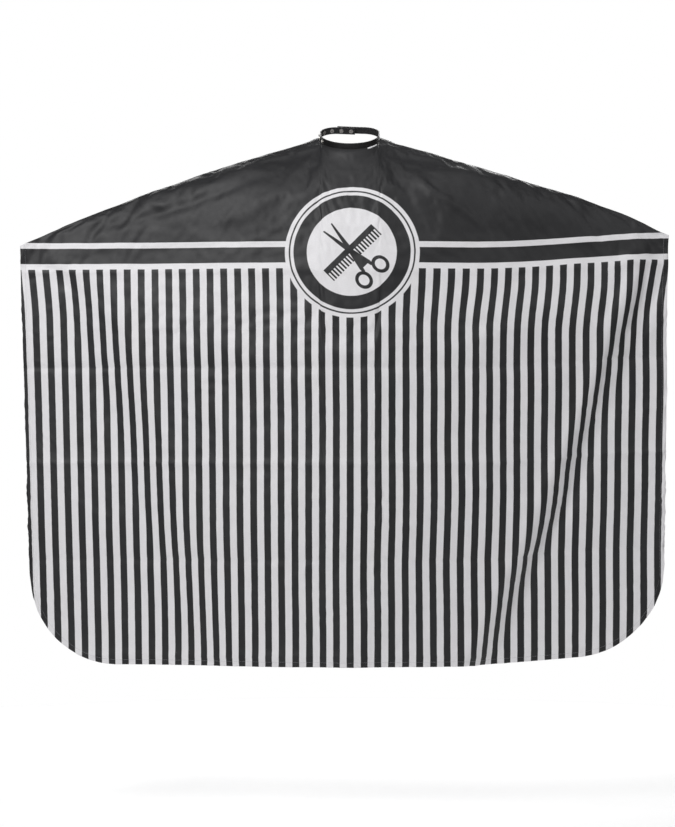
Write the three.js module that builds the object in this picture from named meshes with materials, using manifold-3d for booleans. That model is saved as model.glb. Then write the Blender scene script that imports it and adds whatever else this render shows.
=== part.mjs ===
// Barber cape, hanging from its closed neckband with both side corners held out.
// Millimetres, +Z up. Origin: centre of the front half-circle of the neckband.
// +X runs to the viewer's right of the front of the cape, -Y points out of its front.

import * as THREE from 'three';
import { mergeVertices } from 'three/addons/utils/BufferGeometryUtils.js';
import Module from 'manifold-3d';

// Cape panel
const leftReach = 693;          // neck centre to the left side edge
const rightReach = 670;         // neck centre to the right side edge
const hemDepth = 1111;          // neck centre down to the hem
const hemCornerRadius = 185;
const cornerDrop = 232;         // how far the held corners are below the neckband
const shoulderSlope = 0.265;    // fall of the top line beside the neck
const topEdgeRoll = 44;         // cloth turned over to the back along the top line
const handEdgeRoll = 24;        // the same at the held corners
const rollRadius = 45;
const chestDepth = 120;         // how far the panel stands in front of the neck centre
const sideDepth = 52;           // the same at the held side edges
const chestSpread = 330;
const panelThickness = 2;
const panelStandoff = 1.2;      // panel edge below the neckband edge
const hemLiftRight = 22;        // rise of the right side, pulled up by its hand
const leftTaper = 0.036;        // how much each side draws in towards the hem
const rightTaper = 0.014;
const crestCurve = 1.5;         // power by which the top line moves back from neck to hand
const neckBlend = 60;           // beyond the neck, where the turned edge takes its full radius
const rollBlend = 120;          // beyond the neck, where the turned edge takes its full width
const neckFall = 200;           // drop over which the cloth curves down to hang, at the neck
const handFall = 70;            // the same at the held corners
const neckLean = 0.42;          // how steeply that curve begins, at the neck
const handLean = 0.5;           // the same at the held corners

// Two soft folds run from the held corners down and inwards. Each steps the cloth back.
const foldFade = 160;           // drop below the hands over which the folds grow
const chestSettle = 12;         // the cloth moves forward by this much over the same drop
const leftFold = { inset: 110, slope: 0.34, bend: 0, width: 75, step: 24 };
const rightFold = { inset: 20, slope: 0.33, bend: 0.00012, width: 64, step: 34 };

// Neckband
const neckRadius = 62;          // middle of the band, front half-circle
const backCornerRadius = 34;
const bandSide = 14;            // straight side between front half-circle and back corner
const bandHeight = 15;
const bandTilt = THREE.MathUtils.degToRad(24);
const stripThickness = 0.8;     // lining, interfacing and outer strip alike
const layerGap = 0.3;
const hingeGap = 2.2;           // each side of the line where an end bends

// Snap fasteners
const snapPitch = 21;
const bandStudCount = 5;
const endStudCount = 2;
const studEndMargin = 8;        // end of the underlap past its last stud
const socketEndMargin = 9.5;    // end of the overlap past its last socket
const seatGap = 0.3;
const flangeRadius = 4.5;
const flangeThickness = 0.6;
const studHeadRadius = 2.4;
const studNeckRadius = 2.05;
const studHeadHeight = 2;
const studWall = 0.8;
const barrelRadius = 1.3;
const barrelClearance = 0.3;
const mouthClearance = 0.55;    // socket mouth around a stud head
const socketHeight = 2.8;
const springWireRadius = 0.3;
const springClearance = 0.35;
const springOpening = 40;       // degrees of the ring left open
const grooveInset = 0.4;        // socket mouth below its spring groove
const capRadius = 5.2;
const capHeight = 1.6;
const turnSegments = 16;

// Size label, sewn into the neckline seam at the right front
const labelWidth = 18;
const labelDrop = 5;
const labelCentre = 46;
const labelThickness = 0.6;
const labelStandoff = 1;
const labelShares = [0.7, 1.2, 1.7];   // of labelDrop, down the label

// Values that follow from the ones above
const layerCount = 3;
const bandThickness = layerCount * stripThickness + (layerCount - 1) * layerGap;
const backHalf = neckRadius - backCornerRadius;
const backLine = bandSide + backCornerRadius;
const lapGap = 2 * seatGap + flangeThickness + layerGap + socketHeight;
const lapSlant = Math.asin((bandThickness + lapGap) / (2 * backHalf));
const lapLength = 2 * backHalf * Math.cos(lapSlant);
const firstStud = snapPitch / 2;
const leftEndLength = firstStud + (endStudCount - 1) * snapPitch + studEndMargin;
const rightEndLength = lapLength - firstStud + socketEndMargin;
const barrelHole = barrelRadius + barrelClearance;
const studHeight = flangeThickness + studHeadHeight;
const mouthRadius = studHeadRadius + mouthClearance;
// A flat post flange sits this far inside the hollow face of the tightest bend.
const postSeat = seatGap + flangeRadius ** 2 / (2 * (backCornerRadius - bandThickness / 2));

const wasm = await Module();
wasm.setup();

function finish(colour, roughness, metalness) {
  return new THREE.MeshStandardMaterial({ color: colour, roughness, metalness });
}

const looks = {
  panel: finish(0x3c3b42, 0.6, 0),
  band: finish(0x17161a, 0.55, 0),
  lining: finish(0x1d1c20, 0.75, 0),
  interfacing: finish(0xd8d6d0, 0.9, 0),
  snap: finish(0xc9ccd1, 0.25, 1),
  spring: finish(0x9a9ca0, 0.35, 1),
  label: finish(0xf1f0ee, 0.8, 0),
};

function smooth(edge0, edge1, value) {
  const t = THREE.MathUtils.clamp((value - edge0) / (edge1 - edge0), 0, 1);
  return t * t * (3 - 2 * t);
}

function toManifold(geometry) {
  const bare = geometry.clone();
  bare.deleteAttribute('normal');
  bare.deleteAttribute('uv');
  const merged = mergeVertices(bare);
  return new wasm.Manifold(new wasm.Mesh({
    numProp: 3,
    vertProperties: new Float32Array(merged.attributes.position.array),
    triVerts: new Uint32Array(merged.index.array),
  }));
}

function fromManifold(solid) {
  const mesh = solid.getMesh();
  const geometry = new THREE.BufferGeometry();
  geometry.setAttribute('position', new THREE.BufferAttribute(new Float32Array(mesh.vertProperties), 3));
  geometry.setIndex(new THREE.BufferAttribute(new Uint32Array(mesh.triVerts), 1));
  geometry.computeVertexNormals();
  return geometry;
}

// ---------------------------------------------------------------- neckband plan

// A point of the band, `along` mm from the left bend line round the front to the right
// bend line, with the outward direction there. Plan coordinates in the band's own plane.
function bandPoint(along) {
  const corner = backCornerRadius * Math.PI / 2;
  const front = neckRadius * Math.PI;
  const arcPoint = (cx, cy, radius, angle) => ({
    point: new THREE.Vector2(cx + radius * Math.cos(angle), cy + radius * Math.sin(angle)),
    out: new THREE.Vector2(Math.cos(angle), Math.sin(angle)),
  });
  if (along <= corner) {
    return arcPoint(-backHalf, bandSide, backCornerRadius, Math.PI / 2 + along / backCornerRadius);
  }
  if (along <= corner + bandSide) {
    const point = new THREE.Vector2(-neckRadius, bandSide - (along - corner));
    return { point, out: new THREE.Vector2(-1, 0) };
  }
  if (along <= corner + bandSide + front) {
    return arcPoint(0, 0, neckRadius, Math.PI + (along - corner - bandSide) / neckRadius);
  }
  if (along <= corner + 2 * bandSide + front) {
    const point = new THREE.Vector2(neckRadius, along - corner - bandSide - front);
    return { point, out: new THREE.Vector2(1, 0) };
  }
  const turned = (along - corner - 2 * bandSide - front) / backCornerRadius;
  return arcPoint(backHalf, bandSide, backCornerRadius, turned);
}

const bandLength = Math.PI * (neckRadius + backCornerRadius) + 2 * bandSide;

function bandStations() {
  const corner = backCornerRadius * Math.PI / 2;
  const front = neckRadius * Math.PI;
  const spread = (from, to, count) => Array.from({ length: count }, (_, i) => from + (to - from) * i / count);
  return [
    ...spread(hingeGap, corner, 8),
    corner,
    ...spread(corner + bandSide, corner + bandSide + front, 28),
    corner + bandSide + front,
    ...spread(corner + 2 * bandSide + front, bandLength - hingeGap, 8),
    bandLength - hingeGap,
  ];
}

function stripSolid(outline) {
  const shape = new THREE.Shape(outline);
  const geometry = new THREE.ExtrudeGeometry(shape, { depth: bandHeight, bevelEnabled: false });
  geometry.translate(0, 0, -bandHeight / 2);
  return geometry;
}

// Offsets of one layer from the middle of the band: 0 lining, 1 interfacing, 2 outer strip.
function layerOffsets(layer) {
  const inner = -bandThickness / 2 + layer * (stripThickness + layerGap);
  return [inner, inner + stripThickness];
}

function curvedStrip(layer) {
  const [inner, outer] = layerOffsets(layer);
  const side = (offset) => bandStations().map((along) => {
    const { point, out } = bandPoint(along);
    return point.clone().addScaledVector(out, offset);
  });
  return stripSolid([...side(inner), ...side(outer).reverse()]);
}

// The two ends are straight. Each has an origin on its bend line, a direction and an outward side.
const leftEnd = {
  origin: new THREE.Vector2(-backHalf, backLine),
  along: new THREE.Vector2(Math.cos(lapSlant), -Math.sin(lapSlant)),
  out: new THREE.Vector2(Math.sin(lapSlant), Math.cos(lapSlant)),
  length: leftEndLength,
};
const rightEnd = {
  origin: new THREE.Vector2(backHalf, backLine),
  along: new THREE.Vector2(-Math.cos(lapSlant), Math.sin(lapSlant)),
  out: new THREE.Vector2(Math.sin(lapSlant), Math.cos(lapSlant)),
  length: rightEndLength,
};

function endPoint(end, along, offset) {
  return end.origin.clone().addScaledVector(end.along, along).addScaledVector(end.out, offset);
}

function straightStrip(end, layer) {
  const [inner, outer] = layerOffsets(layer);
  return stripSolid([
    endPoint(end, hingeGap, inner),
    endPoint(end, end.length, inner),
    endPoint(end, end.length, outer),
    endPoint(end, hingeGap, outer),
  ]);
}

// ---------------------------------------------------------------- snap stations

const bandStuds = Array.from({ length: bandStudCount }, (_, i) => {
  const { point, out } = bandPoint(firstStud + (bandStudCount - 1 - i) * snapPitch);
  return { centre: point, out };
});
const endStuds = Array.from({ length: endStudCount }, (_, i) => ({
  centre: endPoint(leftEnd, firstStud + i * snapPitch, 0),
  out: leftEnd.out,
}));
const closures = Array.from({ length: endStudCount }, (_, i) => ({
  centre: endPoint(rightEnd, lapLength - firstStud - i * snapPitch, 0),
  out: rightEnd.out,
}));

function drill(geometry, stations) {
  let solid = toManifold(geometry);
  for (const { centre, out } of stations) {
    const drillBit = new THREE.CylinderGeometry(barrelHole, barrelHole, 4 * bandThickness, turnSegments);
    drillBit.applyQuaternion(outward(out));
    drillBit.translate(centre.x, centre.y, 0);
    solid = solid.subtract(toManifold(drillBit));
  }
  return fromManifold(solid);
}

function outward(out) {
  return new THREE.Quaternion().setFromUnitVectors(
    new THREE.Vector3(0, 1, 0),
    new THREE.Vector3(out.x, out.y, 0),
  );
}

function turned(profile) {
  const points = profile.map(([radius, height]) => new THREE.Vector2(radius, height));
  return new THREE.LatheGeometry(points, turnSegments);
}

// Each snap piece is turned about +Y, which points outwards from the band. Height 0 is the
// face of the strip that the piece is pressed on to.
function studGeometry() {
  const top = studHeight;
  const cavity = studHeadRadius - studWall;
  return turned([
    [0, studHeight - studWall],
    [cavity, studHeight - studWall],
    [cavity, 0],
    [flangeRadius, 0],
    [flangeRadius, flangeThickness],
    [studNeckRadius, flangeThickness],
    [studHeadRadius, top - studHeadHeight / 2],
    [studHeadRadius, top - studWall / 2],
    [studNeckRadius - studWall / 2, top],
    [0, top],
  ]);
}

function postGeometry() {
  const back = -(bandThickness + seatGap + postSeat + flangeThickness);
  const tip = studHeight - studWall - barrelClearance;
  return turned([
    [0, back],
    [flangeRadius, back],
    [flangeRadius, back + flangeThickness],
    [barrelRadius, back + flangeThickness],
    [barrelRadius, tip],
    [0, tip],
  ]);
}

function socketGeometry() {
  const face = -socketHeight;
  const grooveRadius = mouthRadius + 2 * springWireRadius + springClearance;
  const grooveLow = face + grooveInset;
  const grooveTop = grooveLow + 2 * (springWireRadius + springClearance);
  return turned([
    [barrelHole, -flangeThickness],
    [mouthRadius, -flangeThickness],
    [mouthRadius, grooveTop],
    [grooveRadius, grooveTop],
    [grooveRadius, grooveLow],
    [mouthRadius, grooveLow],
    [mouthRadius, face],
    [flangeRadius, face],
    [flangeRadius, 0],
    [barrelHole, 0],
    [barrelHole, -flangeThickness],
  ]);
}

function capGeometry() {
  const tip = -(bandThickness + 2 * seatGap + flangeThickness);
  return turned([
    [0, tip],
    [barrelRadius, tip],
    [barrelRadius, 0],
    [capRadius, 0],
    [capRadius - 0.2, capHeight / 3],
    [capRadius * 0.6, capHeight * 0.85],
    [0, capHeight],
  ]);
}

// The spring is an open ring of round wire, lying in the socket's groove.
class OpenRing extends THREE.Curve {
  constructor(radius) {
    super();
    this.radius = radius;
  }

  getPoint(t, target = new THREE.Vector3()) {
    const angle = THREE.MathUtils.degToRad(springOpening / 2 + (360 - springOpening) * t);
    return target.set(this.radius * Math.cos(angle), 0, this.radius * Math.sin(angle));
  }
}

function springGeometry() {
  const wire = new THREE.Shape().absarc(0, 0, springWireRadius, 0, 2 * Math.PI);
  const path = new OpenRing(mouthRadius + springWireRadius);
  const geometry = new THREE.ExtrudeGeometry(wire, {
    steps: 20, curveSegments: 6, bevelEnabled: false, extrudePath: path,
  });
  const height = -socketHeight + grooveInset + springWireRadius + springClearance;
  geometry.translate(0, height, 0);
  return geometry;
}

// ---------------------------------------------------------------- cape panel

// Height of the line over which the panel turns to the back, and its place front to back.
function crest(x) {
  const reach = x < 0 ? leftReach : rightReach;
  const out = Math.abs(x) - neckRadius;
  const span = reach - neckRadius;
  const start = bandToWorld(neckRadius, 0, -bandHeight / 2 - panelStandoff);
  const curvature = (cornerDrop + start.z - shoulderSlope * span) / span ** 2;
  return {
    y: start.y - (sideDepth + start.y) * (out / span) ** crestCurve,
    z: start.z - shoulderSlope * out - curvature * out ** 2,
  };
}

function bandToWorld(x, v, height) {
  return new THREE.Vector3(
    x,
    v * Math.cos(bandTilt) - height * Math.sin(bandTilt),
    v * Math.sin(bandTilt) + height * Math.cos(bandTilt),
  );
}

function neckline(x) {
  return bandToWorld(x, -Math.sqrt(Math.max(neckRadius ** 2 - x ** 2, 0)), -bandHeight / 2 - panelStandoff);
}

function panelTop(x) {
  return Math.abs(x) < neckRadius ? neckline(x) : crest(x);
}

// Depth of the hanging cloth: forward over the chest, and two soft folds that run down
// and inwards from the held corners.
function hangDepth(x, z) {
  const below = -cornerDrop - z;
  const fade = smooth(0, foldFade, below);
  const stepped = (fold, reach, size) => {
    const middle = reach - fold.inset - fold.slope * below - fold.bend * below ** 2;
    return fold.step * fade * smooth(-fold.width / 2, fold.width / 2, size - middle);
  };
  const chest = (chestDepth - sideDepth) * Math.exp(-((x / chestSpread) ** 2));
  const folds = stepped(rightFold, rightReach, x) + stepped(leftFold, leftReach, -x);
  return -(sideDepth + chest) + folds - chestSettle * fade;
}

// One line of the panel from its top line down to the hem, at x. `part` runs from -1 at the
// edge turned to the back, over 0 at the top line and 1 where the cloth hangs, to 2 at the hem.
function panelPoint(x, part) {
  const top = panelTop(x);
  const reach = x < 0 ? leftReach : rightReach;
  const away = smooth(neckRadius, 0.4 * reach, Math.abs(x));
  if (part < 0) {
    const nearNeck = 1 - smooth(neckRadius, neckRadius + neckBlend, Math.abs(x));
    const beyond = smooth(neckRadius, neckRadius + rollBlend, Math.abs(x));
    const grown = THREE.MathUtils.lerp(bandSide, topEdgeRoll, beyond);
    const roll = THREE.MathUtils.lerp(grown, handEdgeRoll, smooth(0.6 * reach, reach, Math.abs(x)));
    const radius = THREE.MathUtils.lerp(rollRadius, 6 * rollRadius, nearNeck);
    const startAngle = -bandTilt * nearNeck;
    const angle = startAngle - part * roll / radius;
    return new THREE.Vector3(
      x,
      top.y + radius * (Math.sin(angle) - Math.sin(startAngle)),
      top.z + radius * (Math.cos(angle) - Math.cos(startAngle)),
    );
  }
  const fall = THREE.MathUtils.lerp(neckFall, handFall, smooth(neckRadius, reach, Math.abs(x)));
  const hangTop = top.z - fall;
  const nearHand = smooth(reach / 2, reach, Math.abs(x));
  const lean = Math.max(neckLean * (1 - away), handLean * nearHand);
  if (part <= 1) {
    const depth = hangDepth(x, hangTop);
    const middle = { y: depth, z: top.z - lean * fall };
    const keep = (1 - part) ** 2;
    const turn = 2 * part * (1 - part);
    return new THREE.Vector3(
      x,
      keep * top.y + turn * middle.y + part ** 2 * depth,
      keep * top.z + turn * middle.z + part ** 2 * hangTop,
    );
  }
  const z = THREE.MathUtils.lerp(hangTop, hemHeight(x), part - 1);
  return new THREE.Vector3(x, hangDepth(x, z), z);
}

function hemHeight(x) {
  const reach = x < 0 ? leftReach : rightReach;
  const intoCorner = Math.max(Math.abs(x) - (reach - hemCornerRadius), 0);
  const corner = hemCornerRadius - Math.sqrt(Math.max(hemCornerRadius ** 2 - intoCorner ** 2, 0));
  return -hemDepth + corner;
}

// The whole right side is lifted a little, and both sides draw in towards the hem.
function settle(point) {
  const lift = hemLiftRight * smooth(0.35 * rightReach, rightReach, point.x);
  const lower = Math.max(-cornerDrop - point.z, 0) / (hemDepth - cornerDrop);
  const taper = point.x < 0 ? leftTaper : rightTaper;
  return new THREE.Vector3(point.x * (1 - taper * lower), point.y, point.z + lift);
}

function panelColumns() {
  const half = (reach) => {
    const straight = reach - hemCornerRadius;
    const columns = [];
    const plain = 11;
    for (let i = 1; i <= plain; i += 1) {
      columns.push(THREE.MathUtils.lerp(neckRadius, straight, i / plain));
    }
    const cornerSteps = 6;
    for (let i = 1; i <= cornerSteps; i += 1) {
      columns.push(straight + hemCornerRadius * Math.sin(i / cornerSteps * Math.PI / 2));
    }
    return columns;
  };
  const neck = [];
  const neckSteps = 12;
  for (let i = 0; i <= neckSteps; i += 1) {
    neck.push(-neckRadius * Math.cos(i / neckSteps * Math.PI));
  }
  return [...half(leftReach).reverse().map((x) => -x), ...neck, ...half(rightReach)];
}

// Shares of the three stretches of each line, as panelPoint takes them. They are closer
// together by the neckline, where the cloth curves most.
const rollRows = [-1, -0.66, -0.33];
const fallRows = [0, 0.12, 0.25, 0.4, 0.55, 0.7, 0.85, 1];
const hangRowCount = 12;
const hangRows = Array.from({ length: hangRowCount }, (_, i) => 1 + (i + 1) / hangRowCount);

// A closed sheet: both faces lie half a thickness off the middle surface, and every edge
// between them is closed. Cells outside `filled` are left out.
function sheetSolid(grid, filled, thickness) {
  const rows = grid[0].length;
  const used = (i, j) => i >= 0 && j >= 0 && i < grid.length - 1 && j < rows - 1 && filled(i, j);
  const normalAt = (i, j) => {
    const left = grid[Math.max(i - 1, 0)][j];
    const right = grid[Math.min(i + 1, grid.length - 1)][j];
    const upRow = j > 0 && (used(i, j - 1) || used(i - 1, j - 1)) ? j - 1 : j;
    const up = grid[i][upRow];
    const down = grid[i][Math.min(j + 1, rows - 1)];
    const across = right.clone().sub(left);
    const along = down.clone().sub(up);
    return across.cross(along).normalize().negate();
  };
  const index = new Map();
  const positions = [];
  const vertex = (i, j, face) => {
    const key = `${i},${j},${face}`;
    if (!index.has(key)) {
      const point = grid[i][j].clone().addScaledVector(normalAt(i, j), face * thickness / 2);
      index.set(key, positions.length / 3);
      positions.push(point.x, point.y, point.z);
    }
    return index.get(key);
  };
  const triangles = [];
  const quad = (a, b, c, d) => triangles.push(b, c, d, b, d, a);
  for (let i = 0; i < grid.length - 1; i += 1) {
    for (let j = 0; j < rows - 1; j += 1) {
      if (used(i, j)) {
        const corners = [[i, j], [i, j + 1], [i + 1, j + 1], [i + 1, j]];
        const ring = (face) => corners.map(([column, row]) => vertex(column, row, face));
        const front = ring(1);
        const back = ring(-1);
        quad(...front);
        quad(...back.slice().reverse());
        const sides = [
          [used(i - 1, j), 0, 1],
          [used(i, j + 1), 1, 2],
          [used(i + 1, j), 2, 3],
          [used(i, j - 1), 3, 0],
        ];
        for (const [joined, a, b] of sides) {
          if (!joined) {
            quad(front[b], front[a], back[a], back[b]);
          }
        }
      }
    }
  }
  const geometry = new THREE.BufferGeometry();
  geometry.setAttribute('position', new THREE.BufferAttribute(new Float32Array(positions), 3));
  geometry.setIndex(triangles);
  geometry.computeVertexNormals();
  return geometry;
}

function panelGeometry() {
  const columns = panelColumns();
  const parts = [...rollRows, ...fallRows, ...hangRows];
  const grid = columns.map((x) => parts.map((part) => settle(panelPoint(x, part))));
  const inNotch = (i, j) => {
    const middle = (columns[i] + columns[i + 1]) / 2;
    return Math.abs(middle) < neckRadius && j < rollRows.length;
  };
  return sheetSolid(grid, (i, j) => !inNotch(i, j), panelThickness);
}

function labelGeometry() {
  const steps = 4;
  const drop = labelDrop / neckFall;
  const lift = panelThickness / 2 + labelThickness / 2 + labelStandoff;
  const grid = Array.from({ length: steps + 1 }, (_, i) => {
    const x = labelCentre + labelWidth * (i / steps - 0.5);
    return labelShares.map((share) => {
      const here = settle(panelPoint(x, share * drop));
      const beside = settle(panelPoint(x + 1, share * drop));
      const below = settle(panelPoint(x, share * drop + 1 / neckFall));
      const normal = below.sub(here).cross(beside.sub(here)).normalize();
      return here.clone().addScaledVector(normal, lift);
    });
  });
  return sheetSolid(grid, () => true, labelThickness);
}

// ---------------------------------------------------------------- assembly

const cape = new THREE.Group();
const band = new THREE.Group();
band.rotation.x = bandTilt;
cape.add(band);

function add(parent, name, geometry, material) {
  const mesh = new THREE.Mesh(geometry, material);
  mesh.name = name;
  parent.add(mesh);
  return mesh;
}

function addSnap(name, geometry, material, station, offset) {
  const mesh = add(band, name, geometry, material);
  const place = station.centre.clone().addScaledVector(station.out, offset);
  mesh.position.set(place.x, place.y, 0);
  mesh.quaternion.copy(outward(station.out));
}

add(cape, 'cape_panel', panelGeometry(), looks.panel);
add(cape, 'size_label', labelGeometry(), looks.label);

const layers = [
  ['lining', looks.lining],
  ['interfacing', looks.interfacing],
  ['outer', looks.band],
];
layers.forEach(([layer, material], depth) => {
  add(band, `neckband_${layer}`, drill(curvedStrip(depth), bandStuds), material);
  add(band, `left_end_${layer}`, drill(straightStrip(leftEnd, depth), endStuds), material);
  add(band, `right_end_${layer}`, drill(straightStrip(rightEnd, depth), closures), material);
});

const outerFace = bandThickness / 2 + seatGap;
[...bandStuds, ...endStuds].forEach((station, i) => {
  addSnap(`snap_stud_${i + 1}`, studGeometry(), looks.snap, station, outerFace);
  addSnap(`snap_post_${i + 1}`, postGeometry(), looks.snap, station, outerFace);
});
closures.forEach((station, i) => {
  addSnap(`snap_cap_${i + 1}`, capGeometry(), looks.snap, station, outerFace);
  addSnap(`snap_socket_${i + 1}`, socketGeometry(), looks.snap, station, -outerFace);
  addSnap(`snap_spring_${i + 1}`, springGeometry(), looks.spring, station, -outerFace);
});

export default cape;
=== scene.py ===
"""Barber cape: builds the cloth, neckband, snap fasteners and stage around the fixed frame."""

import math

import bpy
import numpy as np
from mathutils import Matrix, Vector


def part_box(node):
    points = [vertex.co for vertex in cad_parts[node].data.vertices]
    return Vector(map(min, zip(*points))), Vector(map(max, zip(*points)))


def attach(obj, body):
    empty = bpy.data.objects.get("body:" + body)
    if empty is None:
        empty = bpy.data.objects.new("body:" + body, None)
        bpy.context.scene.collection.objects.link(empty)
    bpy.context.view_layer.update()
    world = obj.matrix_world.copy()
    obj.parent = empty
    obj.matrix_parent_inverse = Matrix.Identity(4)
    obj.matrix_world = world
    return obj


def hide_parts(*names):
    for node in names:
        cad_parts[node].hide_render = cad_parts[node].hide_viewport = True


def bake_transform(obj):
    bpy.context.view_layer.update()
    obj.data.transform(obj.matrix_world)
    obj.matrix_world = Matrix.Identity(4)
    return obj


bl_info = {
    "name": "Barber Cape",
    "version": (1, 0, 0),
    "blender": (4, 5, 0),
    "location": "3D View > Sidebar > Barber Cape",
    "description": "Builds a barber cape with a snap neckband around its fixed frame",
    "category": "Object",
}

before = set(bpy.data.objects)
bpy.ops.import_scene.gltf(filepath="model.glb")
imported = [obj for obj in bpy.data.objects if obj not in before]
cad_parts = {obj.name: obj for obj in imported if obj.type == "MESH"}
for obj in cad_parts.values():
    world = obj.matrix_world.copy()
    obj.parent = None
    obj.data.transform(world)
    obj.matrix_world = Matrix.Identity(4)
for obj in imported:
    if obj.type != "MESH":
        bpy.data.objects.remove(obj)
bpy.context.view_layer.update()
PANEL_LOW = Vector(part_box("cape_panel")[0])

# ------------------------------------------------------------------ sizes of the cloth and the band

LEFT_REACH = 0.693
RIGHT_REACH = 0.670
HEM_DEPTH = -PANEL_LOW.z
HEM_CORNER = 0.185
CORNER_DROP = 0.232
SHOULDER_SLOPE = 0.265
TOP_ROLL = 0.044
HAND_ROLL = 0.024
ROLL_RADIUS = 0.045
CHEST_DEPTH = 0.120
SIDE_DEPTH = 0.052
CHEST_SPREAD = 0.330
HEM_LIFT = 0.022
LEFT_TAPER = 0.036
RIGHT_TAPER = 0.014
LEFT_FOLD_WIDTH = 0.120
LEFT_FOLD_STEP = 0.018
LEFT_FOLD_TAKE = 0.008
RIGHT_FOLD_WIDTH = 0.090
RIGHT_FOLD_STEP = 0.030
RIGHT_FOLD_TAKE = 0.016
HAND_PULL = 0.010
LEFT_FOLD_INSET = 0.110
LEFT_FOLD_SLOPE = 0.34
RIGHT_FOLD_INSET = 0.020
RIGHT_FOLD_SLOPE = 0.33
RIGHT_FOLD_BEND = 0.12
FOLD_FADE = 0.160         # depth below the held corners over which the folds grow
CHEST_SETTLE = 0.012
CREST_CURVE = 1.5
NECK_BLEND = 0.060        # width beside the neck over which the roll turns upright
ROLL_BLEND = 0.120
NECK_FALL = 0.200         # drop over which the cloth curves down to hang, at the neck
HAND_FALL = 0.070         # the same at the held corners
NECK_LEAN = 0.42
HAND_LEAN = 0.5
EVENING_PASSES = 260

NECK_RADIUS = 0.062
BACK_CORNER = 0.034
BAND_SIDE = 0.014
BAND_HEIGHT = 0.015
BAND_SEAM = 0.0022        # stitching from the band's edge
BAND_TILT = math.radians(24)
STRIP = 0.0008
LAYER_GAP = 0.0003
BAND_THICK = 3 * STRIP + 2 * LAYER_GAP
SEAT_GAP = 0.0003
SNAP_PITCH = 0.021
SOCKET_HEIGHT = 0.0028
FLANGE_THICK = 0.0006
FLANGE_RADIUS = 0.0045
BACK_HALF = NECK_RADIUS - BACK_CORNER
BACK_LINE = BAND_SIDE + BACK_CORNER
LAP_GAP = 2 * SEAT_GAP + FLANGE_THICK + LAYER_GAP + SOCKET_HEIGHT
LAP_SLANT = math.asin((BAND_THICK + LAP_GAP) / (2 * BACK_HALF))
LAP_LENGTH = 2 * BACK_HALF * math.cos(LAP_SLANT)
BAND_LENGTH = math.pi * (NECK_RADIUS + BACK_CORNER) + 2 * BAND_SIDE
FIRST_STUD = SNAP_PITCH / 2
BAND_STUDS = 5
END_STUDS = 2
STUD_MARGIN = 0.008       # left end past its last stud
SOCKET_MARGIN = 0.0095    # right end past its last socket

CUT_WIDTH = 1.40
CUT_LENGTH = 1.20
LINE_HEIGHT = -0.233      # where the upper printed line lies on the hanging cloth
HEM_WIDTH = 0.012
NECK_TUCK = 0.003         # cloth inside the neckband
TURNED_ROWS = 6           # grid rows on the cloth turned to the back
HUNG_ROWS = 102           # grid rows in all, before they are made finer


def smooth(edge0, edge1, value):
    t = np.clip((np.asarray(value, float) - edge0) / (edge1 - edge0), 0, 1)
    return t * t * (3 - 2 * t)


def mix(a, b, t):
    return a + (b - a) * t


# ------------------------------------------------------------------ neckband plan

def band_world(x, v, height):
    """A point of the neckband's own tilted plane, in the row frame."""
    cos, sin = math.cos(BAND_TILT), math.sin(BAND_TILT)
    return Vector((x, v * cos - height * sin, v * sin + height * cos))


def band_point(along):
    """Middle of the band and its outward direction, from the left bend line round the front."""
    corner = BACK_CORNER * math.pi / 2
    front = NECK_RADIUS * math.pi

    def arc(cx, cy, radius, angle):
        out = Vector((math.cos(angle), math.sin(angle)))
        return Vector((cx, cy)) + out * radius, out

    if along <= corner:
        return arc(-BACK_HALF, BAND_SIDE, BACK_CORNER, math.pi / 2 + along / BACK_CORNER)
    if along <= corner + BAND_SIDE:
        return Vector((-NECK_RADIUS, BAND_SIDE - along + corner)), Vector((-1, 0))
    if along <= corner + BAND_SIDE + front:
        return arc(0, 0, NECK_RADIUS, math.pi + (along - corner - BAND_SIDE) / NECK_RADIUS)
    if along <= corner + 2 * BAND_SIDE + front:
        return Vector((NECK_RADIUS, along - corner - BAND_SIDE - front)), Vector((1, 0))
    turned = (along - corner - 2 * BAND_SIDE - front) / BACK_CORNER
    return arc(BACK_HALF, BAND_SIDE, BACK_CORNER, turned)


LAP_OUT = Vector((math.sin(LAP_SLANT), math.cos(LAP_SLANT)))
LEFT_BEND = Vector((-BACK_HALF, BACK_LINE))
RIGHT_BEND = Vector((BACK_HALF, BACK_LINE))
LEFT_ALONG = Vector((math.cos(LAP_SLANT), -math.sin(LAP_SLANT)))
RIGHT_ALONG = -LEFT_ALONG


# ------------------------------------------------------------------ cape surface

def reach_of(x):
    return np.where(np.asarray(x) < 0, LEFT_REACH, RIGHT_REACH)


def panel_top(x):
    """Height and depth of the panel's upper line: the neckline in the middle, then the arm line."""
    x = np.asarray(x, float)
    inner = np.sqrt(np.clip(NECK_RADIUS ** 2 - x ** 2, 0, None))
    hang = -BAND_HEIGHT / 2 + NECK_TUCK
    cos, sin = math.cos(BAND_TILT), math.sin(BAND_TILT)
    neck_y, neck_z = -inner * cos - hang * sin, -inner * sin + hang * cos
    out = np.clip(np.abs(x) - NECK_RADIUS, 0, None)
    span = reach_of(x) - NECK_RADIUS
    start_y, start_z = -hang * sin, hang * cos
    curve = (CORNER_DROP + start_z - SHOULDER_SLOPE * span) / span ** 2
    crest_y = start_y - (SIDE_DEPTH + start_y) * (out / span) ** CREST_CURVE
    crest_z = start_z - SHOULDER_SLOPE * out - curve * out ** 2
    at_neck = np.abs(x) < NECK_RADIUS
    return np.where(at_neck, neck_y, crest_y), np.where(at_neck, neck_z, crest_z)


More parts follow.
